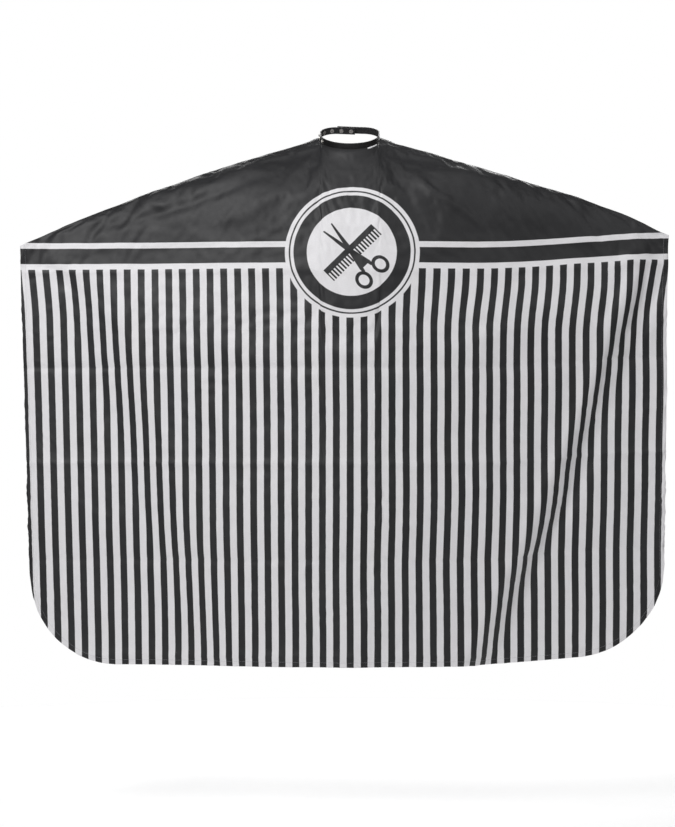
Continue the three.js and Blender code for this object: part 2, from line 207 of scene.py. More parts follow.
def fold_shares(x, z):
    """How far past each of the two diagonal folds a point lies, from 0 to 1: left and right."""
    below = -CORNER_DROP - z
    right_fold = RIGHT_REACH - RIGHT_FOLD_INSET - RIGHT_FOLD_SLOPE * below - RIGHT_FOLD_BEND * below ** 2
    left_fold = -LEFT_REACH + LEFT_FOLD_INSET + LEFT_FOLD_SLOPE * below
    fade = smooth(0, FOLD_FADE, below)
    left = fade * smooth(-LEFT_FOLD_WIDTH / 2, LEFT_FOLD_WIDTH / 2, left_fold - x)
    right = fade * smooth(-RIGHT_FOLD_WIDTH / 2, RIGHT_FOLD_WIDTH / 2, x - right_fold)
    return left, right


def hang_depth(x, z):
    """Depth of the hanging cloth, with the two soft folds that run in from the held corners."""
    left, right = fold_shares(x, z)
    chest = (CHEST_DEPTH - SIDE_DEPTH) * np.exp(-((x / CHEST_SPREAD) ** 2))
    settled = CHEST_SETTLE * smooth(0, FOLD_FADE, -CORNER_DROP - z)
    return -(SIDE_DEPTH + chest) + RIGHT_FOLD_STEP * right + LEFT_FOLD_STEP * left - settled


def cloth_across(x, z):
    """Place across the cut of a point of the hanging cloth: the folds take up some width."""
    left, right = fold_shares(x, z)
    return x + RIGHT_FOLD_TAKE * right - LEFT_FOLD_TAKE * left


def hem_height(x):
    into = np.clip(np.abs(x) - (reach_of(x) - HEM_CORNER), 0, HEM_CORNER)
    return -HEM_DEPTH + HEM_CORNER - np.sqrt(HEM_CORNER ** 2 - into ** 2)


def panel_line(x, parts):
    """Points of the panel down one line at x: part -1 back edge, 0 top line, 1 hanging, 2 hem."""
    top_y, top_z = (float(v) for v in panel_top(x))
    reach = float(reach_of(x))
    size = abs(x)
    near = float(1 - smooth(NECK_RADIUS, NECK_RADIUS + NECK_BLEND, size))
    grown = mix(BAND_SIDE, TOP_ROLL, float(smooth(NECK_RADIUS, NECK_RADIUS + ROLL_BLEND, size)))
    roll = mix(grown, HAND_ROLL, float(smooth(0.6 * reach, reach, size)))
    radius = mix(ROLL_RADIUS, 6 * ROLL_RADIUS, near)
    start = -BAND_TILT * near
    angle = start - np.minimum(parts, 0) * roll / radius
    roll_y = top_y + radius * (np.sin(angle) - math.sin(start))
    roll_z = top_z + radius * (np.cos(angle) - math.cos(start))
    fall = mix(NECK_FALL, HAND_FALL, float(smooth(NECK_RADIUS, reach, size)))
    hang_top = top_z - fall
    away = float(smooth(NECK_RADIUS, 0.4 * reach, size))
    lean = max(NECK_LEAN * (1 - away), HAND_LEAN * float(smooth(0.5 * reach, reach, size)))
    depth = float(hang_depth(x, hang_top))
    t = np.clip(parts, 0, 1)
    fall_y = (1 - t) ** 2 * top_y + 2 * t * (1 - t) * depth + t ** 2 * depth
    fall_z = (1 - t) ** 2 * top_z + 2 * t * (1 - t) * (top_z - lean * fall) + t ** 2 * hang_top
    low_z = mix(hang_top, float(hem_height(x)), np.clip(parts - 1, 0, 1))
    low_y = hang_depth(x, low_z)
    y = np.where(parts < 0, roll_y, np.where(parts <= 1, fall_y, low_y))
    z = np.where(parts < 0, roll_z, np.where(parts <= 1, fall_z, low_z))
    return y, z


def settle(x, z):
    """The right side is lifted a little, and both sides draw in towards the hem."""
    lift = HEM_LIFT * smooth(0.35 * RIGHT_REACH, RIGHT_REACH, x)
    lower = np.clip(-CORNER_DROP - z, 0, None) / (HEM_DEPTH - CORNER_DROP)
    taper = np.where(x < 0, LEFT_TAPER, RIGHT_TAPER)
    return x * (1 - taper * lower), z + lift


def softened(grid, passes, axes=(0, 1)):
    """The grid's values averaged with their neighbours, again and again."""
    for _ in range(passes):
        for axis in axes:
            lines = np.moveaxis(grid, axis, 0)
            before = np.concatenate([lines[:1], lines[:-1]])
            after = np.concatenate([lines[1:], lines[-1:]])
            grid = np.moveaxis((before + 2 * lines + after) / 4, 0, axis)
    return grid


def pulled(x, z):
    """How far the right hand draws the cloth under the printed lines to its side."""
    reached = smooth(0.02, 0.30, x) * (1 - smooth(0.50, RIGHT_REACH, x))
    return HAND_PULL * reached * smooth(-0.42, -0.30, z)


def round_steps(count, turn):
    """Shares from 0 to 1 that come closer together, as points round an arc do."""
    return np.sin(np.linspace(0, turn, count + 1)[1:]) / math.sin(turn)


def columns_across():
    """Places of the cloth's lengthwise lines, closer at the neck and round the hem corners."""
    def half(reach):
        straight = reach - HEM_CORNER
        t = np.linspace(0, 1, 50)[1:]
        plain = NECK_RADIUS + (straight - NECK_RADIUS) * (0.3 * t + 0.7 * t ** 1.5)
        return np.concatenate([plain, straight + HEM_CORNER * round_steps(21, 1.3)])

    neck = NECK_RADIUS * round_steps(12, 1.25)
    return np.concatenate([-half(LEFT_REACH)[::-1], -neck[::-1], [0], neck, half(RIGHT_REACH)])


def rows_down():
    """Shares of the hanging front of a line, with rows close together at the hem and neck."""
    plain = np.linspace(0.024, 0.976, 88)
    return np.concatenate([[0, 0.005, 0.010, 0.016], plain, [0.988, 0.992, 0.996, 1.0]])


def level_depths(hung):
    """Depth of every point, evened out across the cloth at the point's own height."""
    front = hung[:, TURNED_ROWS:]
    levels = np.linspace(front[:, :, 2].min(), front[:, :, 2].max(), 500)
    depths = np.array([np.interp(levels, line[::-1, 2], line[::-1, 1]) for line in front])
    depths = softened(depths, EVENING_PASSES, (0,))
    return np.array([np.interp(line[:, 2], levels, depth) for line, depth in zip(hung, depths)])


def cloth_grid():
    """The hanging surface and its flat cut, as two grids of columns by rows of points.

    The first rows are the cloth turned to the back over the arm lines. At the neck those
    rows only carry the surface on, and filled_cells leaves them out."""
    fine = np.concatenate([np.linspace(0, 1, 90)[:-1], np.linspace(1, 2, 160)])
    shares = rows_down()
    hung, flat = [], []
    for x in columns_across():
        roll_y, roll_z = panel_line(x, np.linspace(-1, 0, TURNED_ROWS + 1)[:-1])
        y, z = panel_line(x, fine)
        run = np.concatenate([[0], np.cumsum(np.hypot(np.diff(y), np.diff(z)))])
        line_run = np.interp(-LINE_HEIGHT, -z, run)
        along = shares * run[-1]
        y, z = np.interp(along, run, y), np.interp(along, run, z)
        back = np.hypot(np.diff(np.append(roll_y, y[0])), np.diff(np.append(roll_z, z[0])))
        along = np.concatenate([-np.cumsum(back[::-1])[::-1], along])
        y, z = np.concatenate([roll_y, y]), np.concatenate([roll_z, z])
        settled_x, settled_z = settle(np.full_like(z, x), z)
        hung.append(np.stack([settled_x + pulled(settled_x, settled_z), y, settled_z], 1))
        flat.append(np.stack([cloth_across(x, z), line_run - along], 1))
    hung, flat = np.array(hung), np.array(flat)
    below_neck = smooth(0.004, 0.050, flat[:, TURNED_ROWS : TURNED_ROWS + 1, 1] - flat[:, :, 1])
    eased = below_neck * (1 - smooth(0.12, 0.24, np.abs(hung[:, :, 0])))
    hung[:, :, 1] = mix(hung[:, :, 1], level_depths(hung), eased)
    return hung, flat


def turned_rows(grid):
    """How many of a grid's rows are on the cloth turned to the back."""
    return TURNED_ROWS * ((grid.shape[1] - 1) // (HUNG_ROWS - 1))


def filled_cells(flat):
    """Which cells between the grid's points are cloth: all but the neck's notch."""
    middle = (flat[1:, :-1, 0] + flat[:-1, :-1, 0]) / 2
    turned = np.arange(flat.shape[1] - 1) < turned_rows(flat)
    return ~((np.abs(middle) < NECK_RADIUS) & turned[None])


def cell_faces(filled):
    down = filled.shape[1]
    i, j = np.nonzero(filled)
    a = i * (down + 1) + j
    return np.stack([a, a + 1, a + down + 2, a + down + 1], 1)


def new_mesh(name, verts, faces):
    mesh = bpy.data.meshes.new(name)
    mesh.from_pydata(verts, [], faces)
    return mesh


def grid_mesh(name, points, filled):
    return new_mesh(name, points.reshape(-1, 3).tolist(), cell_faces(filled).tolist())


def tube_faces(rings, sides, base=0):
    """Faces of a closed tube whose rings of points follow one another, with both its ends."""
    faces = []
    for r in range(rings - 1):
        for s in range(sides):
            a, b = base + r * sides + s, base + r * sides + (s + 1) % sides
            faces.append((a, b, b + sides, a + sides))
    last = base + (rings - 1) * sides
    faces.append(tuple(reversed(range(base, base + sides))))
    faces.append(tuple(range(last, last + sides)))
    return faces


def run_along(points):
    """Distance along a line of points, from its first one."""
    return np.concatenate([[0], np.cumsum(np.linalg.norm(np.diff(points, axis=0), axis=1))])


def point_at(at, run, points):
    """The place at a distance along a line of points."""
    return np.stack([np.interp(at, run, points[:, c]) for c in range(3)], -1)


def link(name, mesh):
    piece = bpy.data.objects.new(name, mesh)
    bpy.context.collection.objects.link(piece)
    return piece


def grid_normals(points):
    across = np.gradient(points, axis=0)
    down = np.gradient(points, axis=1)
    normal = np.cross(down, across)
    return normal / np.linalg.norm(normal, axis=2, keepdims=True)


def cloth_physics(cloth, held, point_mass, settings):
    """Light cloth that hangs from the points of the held group."""
    sim = cloth.modifiers.new("Cloth", "CLOTH")
    values = {
        "quality": 6, "mass": point_mass, "air_damping": 2.0,
        "tension_stiffness": 30, "compression_stiffness": 30, "shear_stiffness": 12,
        "bending_stiffness": 0.4, "tension_damping": 10, "compression_damping": 10,
        "shear_damping": 8, "vertex_group_mass": held, "shrink_min": -settings.drape_ease,
    }
    for name, value in values.items():
        setattr(sim.settings, name, value)
    sim.collision_settings.distance_min = 0.003
    sim.collision_settings.use_self_collision = False
    sim.point_cache.frame_start = 1
    sim.point_cache.frame_end = settings.drape_frames


def drape(hung, flat, settings):
    """Lets the cloth hang by simulation from the neckline, the arm lines and the held corners."""
    across, down = hung.shape[:2]
    filled = filled_cells(flat)
    cloth = link("cloth_draping", grid_mesh("cloth_draping", hung, filled))
    held = cloth.vertex_groups.new(name="held")
    pinned = []
    for i in range(across):
        pinned += [i * down + j for j in range(TURNED_ROWS + 2)]
    for i in list(range(0, 3)) + list(range(across - 3, across)):
        pinned += [i * down + j for j in range(2, TURNED_ROWS + 5)]
    held.add(pinned, 1.0, "REPLACE")

    body = hung - softened(grid_normals(hung), 12) * 0.012
    chest = body[:, TURNED_ROWS + 3 : down * 2 // 5]
    whole = np.ones((chest.shape[0] - 1, chest.shape[1] - 1), bool)
    wearer = link("wearer_form", grid_mesh("wearer_form", chest, whole))
    wearer.modifiers.new("Collision", "COLLISION")
    wearer.collision.thickness_outer = 0.004
    wearer.collision.cloth_friction = 12

    point_mass = 0.10 * CUT_WIDTH * CUT_LENGTH / (across * down) * 10
    cloth_physics(cloth, held.name, point_mass, settings)
    scene = bpy.context.scene
    for number in range(1, settings.drape_frames + 1):
        scene.frame_set(number)
    graph = bpy.context.evaluated_depsgraph_get()
    result = cloth.evaluated_get(graph).to_mesh()
    points = np.empty(len(result.vertices) * 3)
    result.vertices.foreach_get("co", points)
    points = points.reshape(hung.shape)
    scene.frame_set(1)
    for piece in (cloth, wearer):
        mesh = piece.data
        bpy.data.objects.remove(piece)
        bpy.data.meshes.remove(mesh)
    moved = points - hung
    moved -= softened(moved, settings.drape_breadth)
    far = np.linalg.norm(moved, axis=2, keepdims=True)
    return hung + moved * np.minimum(1, settings.drape_limit / np.maximum(far, 1e-9))


# ------------------------------------------------------------------ node helpers

MOTIF_SOFT = 0.0012       # width over which the motif's edges fade
PRINT_SOFT = 0.0009       # the same for the lines and stripes


class Nodes:
    """Short calls for building a node tree."""

    def __init__(self, tree):
        self.tree = tree

    def add(self, kind, inputs=(), **options):
        node = self.tree.nodes.new(kind)
        for key, value in options.items():
            setattr(node, key, value)
        for key, value in dict(inputs).items():
            self.put(node.inputs[key], value)
        return node

    def put(self, socket, value):
        if isinstance(value, bpy.types.NodeSocket):
            self.tree.links.new(value, socket)
        else:
            socket.default_value = value

    def math(self, operation, a, b=0.0, c=0.0, clamp=False):
        node = self.add("ShaderNodeMath", operation=operation, use_clamp=clamp)
        for socket, value in zip(node.inputs, (a, b, c)):
            self.put(socket, value)
        return node.outputs[0]

    def step(self, value, edge, soft):
        """0 below the edge and 1 above it, over a soft width."""
        node = self.add("ShaderNodeMapRange", interpolation_type="SMOOTHSTEP")
        self.put(node.inputs["Value"], value)
        node.inputs["From Min"].default_value = edge - soft / 2
        node.inputs["From Max"].default_value = edge + soft / 2
        return node.outputs["Result"]

    def blend(self, share, a, b):
        node = self.add("ShaderNodeMix", data_type="RGBA")
        self.put(node.inputs["Factor"], share)
        self.put(node.inputs["A"], a)
        self.put(node.inputs["B"], b)
        return node.outputs["Result"]

    def noise(self, vector, scale, detail=3.0, rough=0.5):
        node = self.add("ShaderNodeTexNoise", {"Scale": scale, "Detail": detail, "Roughness": rough})
        self.put(node.inputs["Vector"], vector)
        return node.outputs["Fac"]

    def less(self, value, edge, soft):
        """1 below the edge and 0 above it."""
        return self.math("SUBTRACT", 1.0, self.step(value, edge, soft))

    def within(self, value, middle, half, soft):
        """1 where the value is no further than half from the middle."""
        return self.less(self.math("ABSOLUTE", self.math("SUBTRACT", value, middle)), half, soft)

    def both(self, a, b):
        return self.math("MULTIPLY", a, b)

    def either(self, a, b):
        return self.math("MAXIMUM", a, b)

    def toned(self, colour, tone):
        node = self.add("ShaderNodeVectorMath", operation="MULTIPLY")
        self.put(node.inputs[0], colour)
        self.put(node.inputs[1], tone)
        return node.outputs["Vector"]

    def bump(self, height, strength, distance, under=None):
        node = self.add("ShaderNodeBump", {"Strength": strength, "Distance": distance, "Height": height})
        if under is not None:
            self.put(node.inputs["Normal"], under)
        return node.outputs["Normal"]


def group(name, sockets_in, sockets_out):
    """An empty node group with its named sockets; returns it, its inputs and its output node."""
    tree = bpy.data.node_groups.new(name, "ShaderNodeTree")
    for label, kind, default in sockets_in:
        socket = tree.interface.new_socket(label, in_out="INPUT", socket_type=kind)
        if default is not None:
            socket.default_value = default
    for label, kind in sockets_out:
        tree.interface.new_socket(label, in_out="OUTPUT", socket_type=kind)
    inside = tree.nodes.new("NodeGroupInput")
    outside = tree.nodes.new("NodeGroupOutput")
    return tree, inside.outputs, outside


def linear(colour):
    return [*(c / 12.92 if c <= 0.04045 else ((c + 0.055) / 1.055) ** 2.4 for c in colour[:3]), 1.0]


def weave_group():
    """Plain weave: height of crossing threads, with slubs, and a tone with painted shade where the
    threads dip plus random slub tone. Scale is threads per metre.
    """
    name = "Cape weave"
    if name in bpy.data.node_groups:
        return bpy.data.node_groups[name]
    tree, given, out = group(
        name,
        [("Vector", "NodeSocketVector", None), ("Scale", "NodeSocketFloat", 1800.0)],
        [("Height", "NodeSocketFloat"), ("Thread shade and slub tone", "NodeSocketFloat")])
    n = Nodes(tree)
    split = n.add("ShaderNodeSeparateXYZ", {"Vector": given["Vector"]})
    turn = n.math("MULTIPLY", given["Scale"], math.pi)
    warp = n.math("SINE", n.math("MULTIPLY", split.outputs["X"], turn))
    weft = n.math("SINE", n.math("MULTIPLY", split.outputs["Z"], turn))
    over = n.math("MULTIPLY", warp, weft)
    slub = n.noise(given["Vector"], 900.0, 2.0)
    height = n.math("ADD", n.math("MULTIPLY", over, 0.5), slub)
    n.put(out.inputs["Height"], height)
    # Tone: painted shade where the crossing threads dip (darker with lower height), plus random slub tone
    n.put(out.inputs["Thread shade and slub tone"], n.math("MULTIPLY_ADD", over, 0.05, n.math("MULTIPLY_ADD", slub, 0.2, 0.87)))
    return tree


def turned_axes(n, x, y, degrees):
    """The two places of a point along and across a turned direction."""
    cos, sin = math.cos(math.radians(degrees)), math.sin(math.radians(degrees))
    along = n.math("ADD", n.math("MULTIPLY", x, cos), n.math("MULTIPLY", y, sin))
    across = n.math("SUBTRACT", n.math("MULTIPLY", y, cos), n.math("MULTIPLY", x, sin))
    return along, across


def length_of(n, x, y):
    return n.math("SQRT", n.math("ADD", n.both(x, x), n.both(y, y)))


def comb_mask(n, x, y, size):
    along, across = turned_axes(n, x, y, 45)
    whole = n.within(along, 0.0, size * 0.50, MOTIF_SOFT)
    spine = n.both(whole, n.within(across, size * 0.045, size * 0.045, MOTIF_SOFT))
    wave = n.math("FRACT", n.math("DIVIDE", along, size * 0.052))
    tooth = n.less(n.math("ABSOLUTE", n.math("SUBTRACT", wave, 0.5)), 0.27, 0.06)
    row = n.both(whole, n.within(across, -size * 0.06, size * 0.075, MOTIF_SOFT))
    return n.either(spine, n.both(row, tooth))


def scissors_mask(n, x, y, size):
    along, across = turned_axes(n, x, y, 135)
    whole = 0.0
    for side in (-1, 1):
        lean = side * 0.16
        edge = n.math("ADD", across, n.math("MULTIPLY", along, lean))
        narrow = n.math("MULTIPLY_ADD", along, -0.055, size * 0.040)
        inside = n.math("SUBTRACT", narrow, n.math("ABSOLUTE", edge))
        reach = n.within(along, size * 0.11, size * 0.41, MOTIF_SOFT)
        blade = n.both(n.step(inside, 0.0, MOTIF_SOFT), reach)
        dx = n.math("SUBTRACT", along, -size * 0.44)
        dy = n.math("DIVIDE", n.math("SUBTRACT", across, side * size * 0.17), 0.85)
        handle = n.within(length_of(n, dx, dy), size * 0.115, size * 0.028, MOTIF_SOFT)
        bent = n.math("ADD", across, n.math("MULTIPLY", along, lean * 1.5))
        shank = n.both(
            n.within(bent, 0.0, size * 0.026, MOTIF_SOFT),
            n.within(along, -size * 0.24, size * 0.12, MOTIF_SOFT))
        whole = n.either(whole, n.either(n.either(blade, handle), shank))
    return whole


def motif_mask(n, u, v, settings):
    """The round motif's disc, and its ink: two rings round a crossed comb and scissors."""
    x = n.math("SUBTRACT", u, settings.motif_across)
    y = n.math("SUBTRACT", v, settings.motif_up)
    radius, size = length_of(n, x, y), settings.motif_radius
    disc = n.less(radius, size, MOTIF_SOFT)
    rim = n.within(radius, size * 0.93, size * 0.012, MOTIF_SOFT)
    ring = n.within(radius, size * 0.77, size * 0.10, MOTIF_SOFT)
    tools = n.either(comb_mask(n, x, y, size), scissors_mask(n, x, y, size))
    return disc, n.both(disc, n.either(n.either(rim, ring), tools))


def print_group(settings):
    """Ink of the cape's print over the flat cut: dark yoke, two white lines, stripes and motif."""
    name = "Cape print"
    if name in bpy.data.node_groups:
        return bpy.data.node_groups[name]
    tree, given, out = group(name, [("Cut", "NodeSocketVector", None)], [("Ink", "NodeSocketFloat")])
    n = Nodes(tree)
    split = n.add("ShaderNodeSeparateXYZ", {"Vector": given["Cut"]})
    u, v = split.outputs["X"], split.outputs["Y"]
    pitch, start, half = settings.stripe_pitch, settings.stripes_start, settings.line_width / 2
    phase = n.math("FRACT", n.math("ADD", n.math("DIVIDE", u, pitch), 0.5))
    from_middle = n.math("ABSOLUTE", n.math("SUBTRACT", phase, 0.5))
    dark = n.less(from_middle, settings.stripe_width / pitch / 2, PRINT_SOFT / pitch)
    stripes = n.both(dark, n.less(v, start, PRINT_SOFT))
    yoke = n.step(v, half, PRINT_SOFT)
    band = n.both(n.step(v, start + 2 * half, PRINT_SOFT), n.less(v, -half, PRINT_SOFT))
    ink = n.either(stripes, n.either(yoke, band))
    disc, stamped = motif_mask(n, u, v, settings)
    plain = n.both(ink, n.math("SUBTRACT", 1.0, disc))
    n.put(out.inputs["Ink"], n.math("ADD", plain, stamped, clamp=True))
    return tree


def surface(name, roughness, metallic=0.0):
    """A new material, the calls for its nodes, and its shader."""
    material = bpy.data.materials.new(name)
    material.use_nodes = True
    shader = material.node_tree.nodes["Principled BSDF"]
    shader.inputs["Roughness"].default_value = roughness
    shader.inputs["Metallic"].default_value = metallic
    return material, Nodes(material.node_tree), shader


def use_group(n, tree, **inputs):
    node = n.add("ShaderNodeGroup", node_tree=tree)
    for key, value in inputs.items():
        n.put(node.inputs[key], value)
    return node.outputs


def object_vector(n):
    return n.add("ShaderNodeTexCoord").outputs["Object"]


def printed_cloth(settings, reverse):
    """Satin polyester: the print on the front, and its ghost showing through on the reverse."""
    material, n, shader = surface("printed_cloth_reverse" if reverse else "printed_cloth", 0.5)
    shader.inputs["Sheen Weight"].default_value = 0.03
    shader.inputs["Sheen Roughness"].default_value = 0.4
    shader.inputs["Specular IOR Level"].default_value = 0.5
    cut = n.add("ShaderNodeUVMap", uv_map="cut").outputs["UV"]
    ink = use_group(n, print_group(settings), Cut=cut)["Ink"]
    where = object_vector(n)
    weave = use_group(n, weave_group(), Vector=where, Scale=1700.0)
    white = linear(settings.white_colour)
    dark = linear(settings.ink_colour)
    if reverse:
        white = [c * 0.92 for c in white[:3]] + [1.0]
        dark = [mix(b, a, 0.60) for a, b in zip(dark[:3], white[:3])] + [1.0]
    cloudy = n.noise(where, 9.0, 4.0)
    printed = n.blend(ink, white, dark)
    worn = n.math("MULTIPLY_ADD", cloudy, 0.05, -0.015, clamp=True)
    faded = n.blend(worn, printed, [0.35, 0.35, 0.38, 1])
    # Base colour times the weave tone: painted shade in the threads' dips, and random slub tone
    n.put(shader.inputs["Base Color"], n.toned(faded, weave["Thread shade and slub tone"]))
    base_rough = n.math("MULTIPLY_ADD", ink, -0.02, 0.49)
    rough = n.math("MULTIPLY_ADD", n.noise(where, 60.0, 3.0), 0.12, base_rough)
    n.put(shader.inputs["Roughness"], rough)
    crumple = n.noise(where, 28.0, 5.0, 0.55)
    soft = n.bump(crumple, 0.09, 0.004)
    n.put(shader.inputs["Normal"], n.bump(weave["Height"], 0.35, 0.00012, soft))
    return material


def band_cloth(name, colour, roughness, threads):
    """Plain woven cloth of the neckband, with crossing threads and rubbed edges."""
    material, n, shader = surface(name, roughness)
    shader.inputs["Sheen Weight"].default_value = 0.02
    where = object_vector(n)
    weave = use_group(n, weave_group(), Vector=where, Scale=threads)
    worn = n.step(n.add("ShaderNodeNewGeometry").outputs["Pointiness"], 0.56, 0.10)
    base = linear(colour)
    rubbed = [min(c * 2.2 + 0.01, 1) for c in base[:3]] + [1.0]
    tint = n.blend(n.math("MULTIPLY", worn, 0.5), base, rubbed)
    # Colour times the weave tone: painted shade in the threads' dips, and random slub tone
    n.put(shader.inputs["Base Color"], n.toned(tint, weave["Thread shade and slub tone"]))
    n.put(shader.inputs["Roughness"], n.math("MULTIPLY_ADD", n.noise(where, 300.0), 0.2, roughness - 0.1))
    n.put(shader.inputs["Normal"], n.bump(weave["Height"], 0.5, 0.0002))
    return material


def thread_material(name, colour):
    material, n, shader = surface(name, 0.55)
    shader.inputs["Sheen Weight"].default_value = 0.3
    where = object_vector(n)
    twist = n.noise(where, 2600.0, 2.0)
    base = linear(colour)
    n.put(shader.inputs["Base Color"], n.blend(twist, [c * 0.7 for c in base[:3]] + [1], base))
    n.put(shader.inputs["Normal"], n.bump(twist, 0.6, 0.0001))
    return material


def snap_metal(name, colour, roughness):
    """Nickel-plated pressed brass: fine turning marks, and dulled where fingers rub."""
    material, n, shader = surface(name, roughness, 1.0)
    where = object_vector(n)
    mottled = n.noise(where, 700.0, 4.0)
    base = linear(colour)
    dull = [c * 0.72 for c in base[:3]] + [1.0]
    n.put(shader.inputs["Base Color"], n.blend(n.step(mottled, 0.62, 0.2), base, dull))
    n.put(shader.inputs["Roughness"], n.math("MULTIPLY_ADD", mottled, 0.25, roughness - 0.08))
    n.put(shader.inputs["Normal"], n.bump(n.noise(where, 3200.0), 0.12, 0.0001))
    return material


def give(piece, *materials):
    for material in materials:
        piece.data.materials.append(material)


def shade_smooth(piece, angle=None):
    mesh = piece.data
    mesh.polygons.foreach_set("use_smooth", [True] * len(mesh.polygons))
    if angle is not None:
        mesh.set_sharp_from_angle(angle=math.radians(angle))
    mesh.update()


# ------------------------------------------------------------------ cape panel

def finer(points):
    """Twice the points each way, on smooth curves through the ones given."""
    for axis in (0, 1):
        p = np.moveaxis(points, axis, 0)
        before = np.concatenate([2 * p[:1] - p[1:2], p[:-1]])[:-1]
        after = np.concatenate([p[1:], 2 * p[-1:] - p[-2:-1]])[1:]
        middle = (9 * (p[:-1] + p[1:]) - before - after) / 16
        full = np.empty((2 * len(p) - 1, *p.shape[1:]))
        full[0::2] = p
        full[1::2] = middle
        points = np.moveaxis(full, 0, axis)
    return points


WRINKLES = (
    # start and end across and up on the hanging cloth, half width, height
    ((0.115, -0.063), (0.290, -0.215), 0.010, 0.0045),
    ((0.085, -0.075), (0.180, -0.235), 0.014, -0.0030),
    ((-0.130, -0.075), (-0.610, -0.225), 0.012, -0.0045),
    ((-0.090, -0.110), (-0.330, -0.200), 0.018, 0.0030),
    ((-0.655, -0.250), (-0.520, -0.330), 0.020, 0.0030),
    ((0.640, -0.235), (0.500, -0.300), 0.018, 0.0035),
    ((0.640, -0.250), (0.560, -0.480), 0.012, -0.0050),
    ((0.575, -0.400), (0.455, -0.760), 0.012, -0.0045),
    ((0.480, -0.700), (0.360, -0.980), 0.014, -0.0035),
    ((0.200, -0.420), (0.330, -0.560), 0.022, 0.0022),
    ((-0.300, -0.520), (-0.220, -0.700), 0.024, 0.0020),
    ((0.050, -0.760), (0.140, -0.950), 0.026, 0.0020),
)


def wrinkle_height(points):
    x, z = points[:, :, 0], points[:, :, 2]
    height = np.zeros_like(x)
    for (x0, z0), (x1, z1), half, tall in WRINKLES:
        length = math.hypot(x1 - x0, z1 - z0)
        along = ((x - x0) * (x1 - x0) + (z - z0) * (z1 - z0)) / length
        across = ((x - x0) * (z1 - z0) - (z - z0) * (x1 - x0)) / length
        wander = 0.006 * np.sin(along / length * 7 + half * 900)
        share = smooth(-0.02, 0.25, along / length) * (1 - smooth(0.55, 1.05, along / length))
        height += tall * share * np.exp(-(((across + wander) / half) ** 2))
    return height


def press_height(flat, settings):
    """Sharp lines left where the cape was folded for its packet, and the slight bow between."""
    v = flat[:, :, 1]
    place = (v - settings.press_start) / -settings.press_pitch
    nearest = np.round(place)
    away = np.abs(place - nearest) * settings.press_pitch
    side = np.where(nearest % 2 == 0, 1.0, -1.0)
    ridge = settings.press_height * side * np.exp(-away / 0.007)
    ridge = np.where((nearest >= 0) & (nearest <= 4), ridge, 0)
    bow = 0.0022 * np.sin(place * math.pi) * smooth(0.12, -0.10, v)
    return ridge + bow


def waves(flat, seed, size, stretch):
    """Smooth uneven waves over the cut, from a few turned sines."""
    draw = np.random.default_rng(seed)
    total = np.zeros(flat.shape[:2])
    for _ in range(9):
        angle = draw.normal(0, 0.35)
        step = size * draw.uniform(0.6, 1.6)
        u = flat[:, :, 0] * math.cos(angle) + flat[:, :, 1] * math.sin(angle) / stretch
        drift = 0.4 * np.sin(flat[:, :, 1] / (step * stretch) + draw.uniform(0, 6.28))
        total += np.sin(u / step * math.pi + drift * 3 + draw.uniform(0, 6.28))
    return total / 9


def edge_distance(cut, filled):
    """Distance over the cut from each point to the hemmed edge, which leaves out the neckline."""
    beside_neck = np.append(filled[:, 0], True)
    edge = np.concatenate([cut[:, -1], cut[0], cut[-1], cut[beside_neck, 0]])
    return np.array([np.linalg.norm(line[:, None] - edge[None], axis=2).min(1) for line in cut])


def closed_sheet(name, middle, normal, thickness, filled, flat=None):
    """A thin closed cloth round a grid of points, with the flat cut as its UV map."""
    front = middle + normal * thickness[:, :, None] / 2
    back = middle - normal * thickness[:, :, None] / 2
    count = middle.shape[0] * middle.shape[1]
    quads = cell_faces(filled)
    cells = np.concatenate([quads[:, :3], quads[:, [0, 2, 3]]])
    edges = np.stack([quads, np.roll(quads, -1, 1)], 2).reshape(-1, 2)
    forward, reverse = edges[:, 0] * count + edges[:, 1], edges[:, 1] * count + edges[:, 0]
    rim = edges[~np.isin(forward, reverse)]
    p, q = rim[:, 0], rim[:, 1]
    walls = np.concatenate([np.stack([q, p, p + count], 1), np.stack([q, p + count, q + count], 1)])
    faces = np.concatenate([cells, cells[:, ::-1] + count, walls])
    used, faces = np.unique(faces, return_inverse=True)
    faces = faces.reshape(-1, 3)
    verts = np.concatenate([front.reshape(-1, 3), back.reshape(-1, 3)])[used]
    mesh = new_mesh(name, verts.tolist(), faces.tolist())
    slots = np.repeat([0, 1, 0], [len(cells), len(cells), len(walls)])
    mesh.polygons.foreach_set("material_index", slots.astype(np.int32))
    if flat is not None:
        layer = mesh.uv_layers.new(name="cut")
        cut = np.concatenate([flat.reshape(-1, 2)] * 2)[used]
        layer.data.foreach_set("uv", cut[faces.reshape(-1)].reshape(-1).astype(np.float32))
    return link(name, mesh)


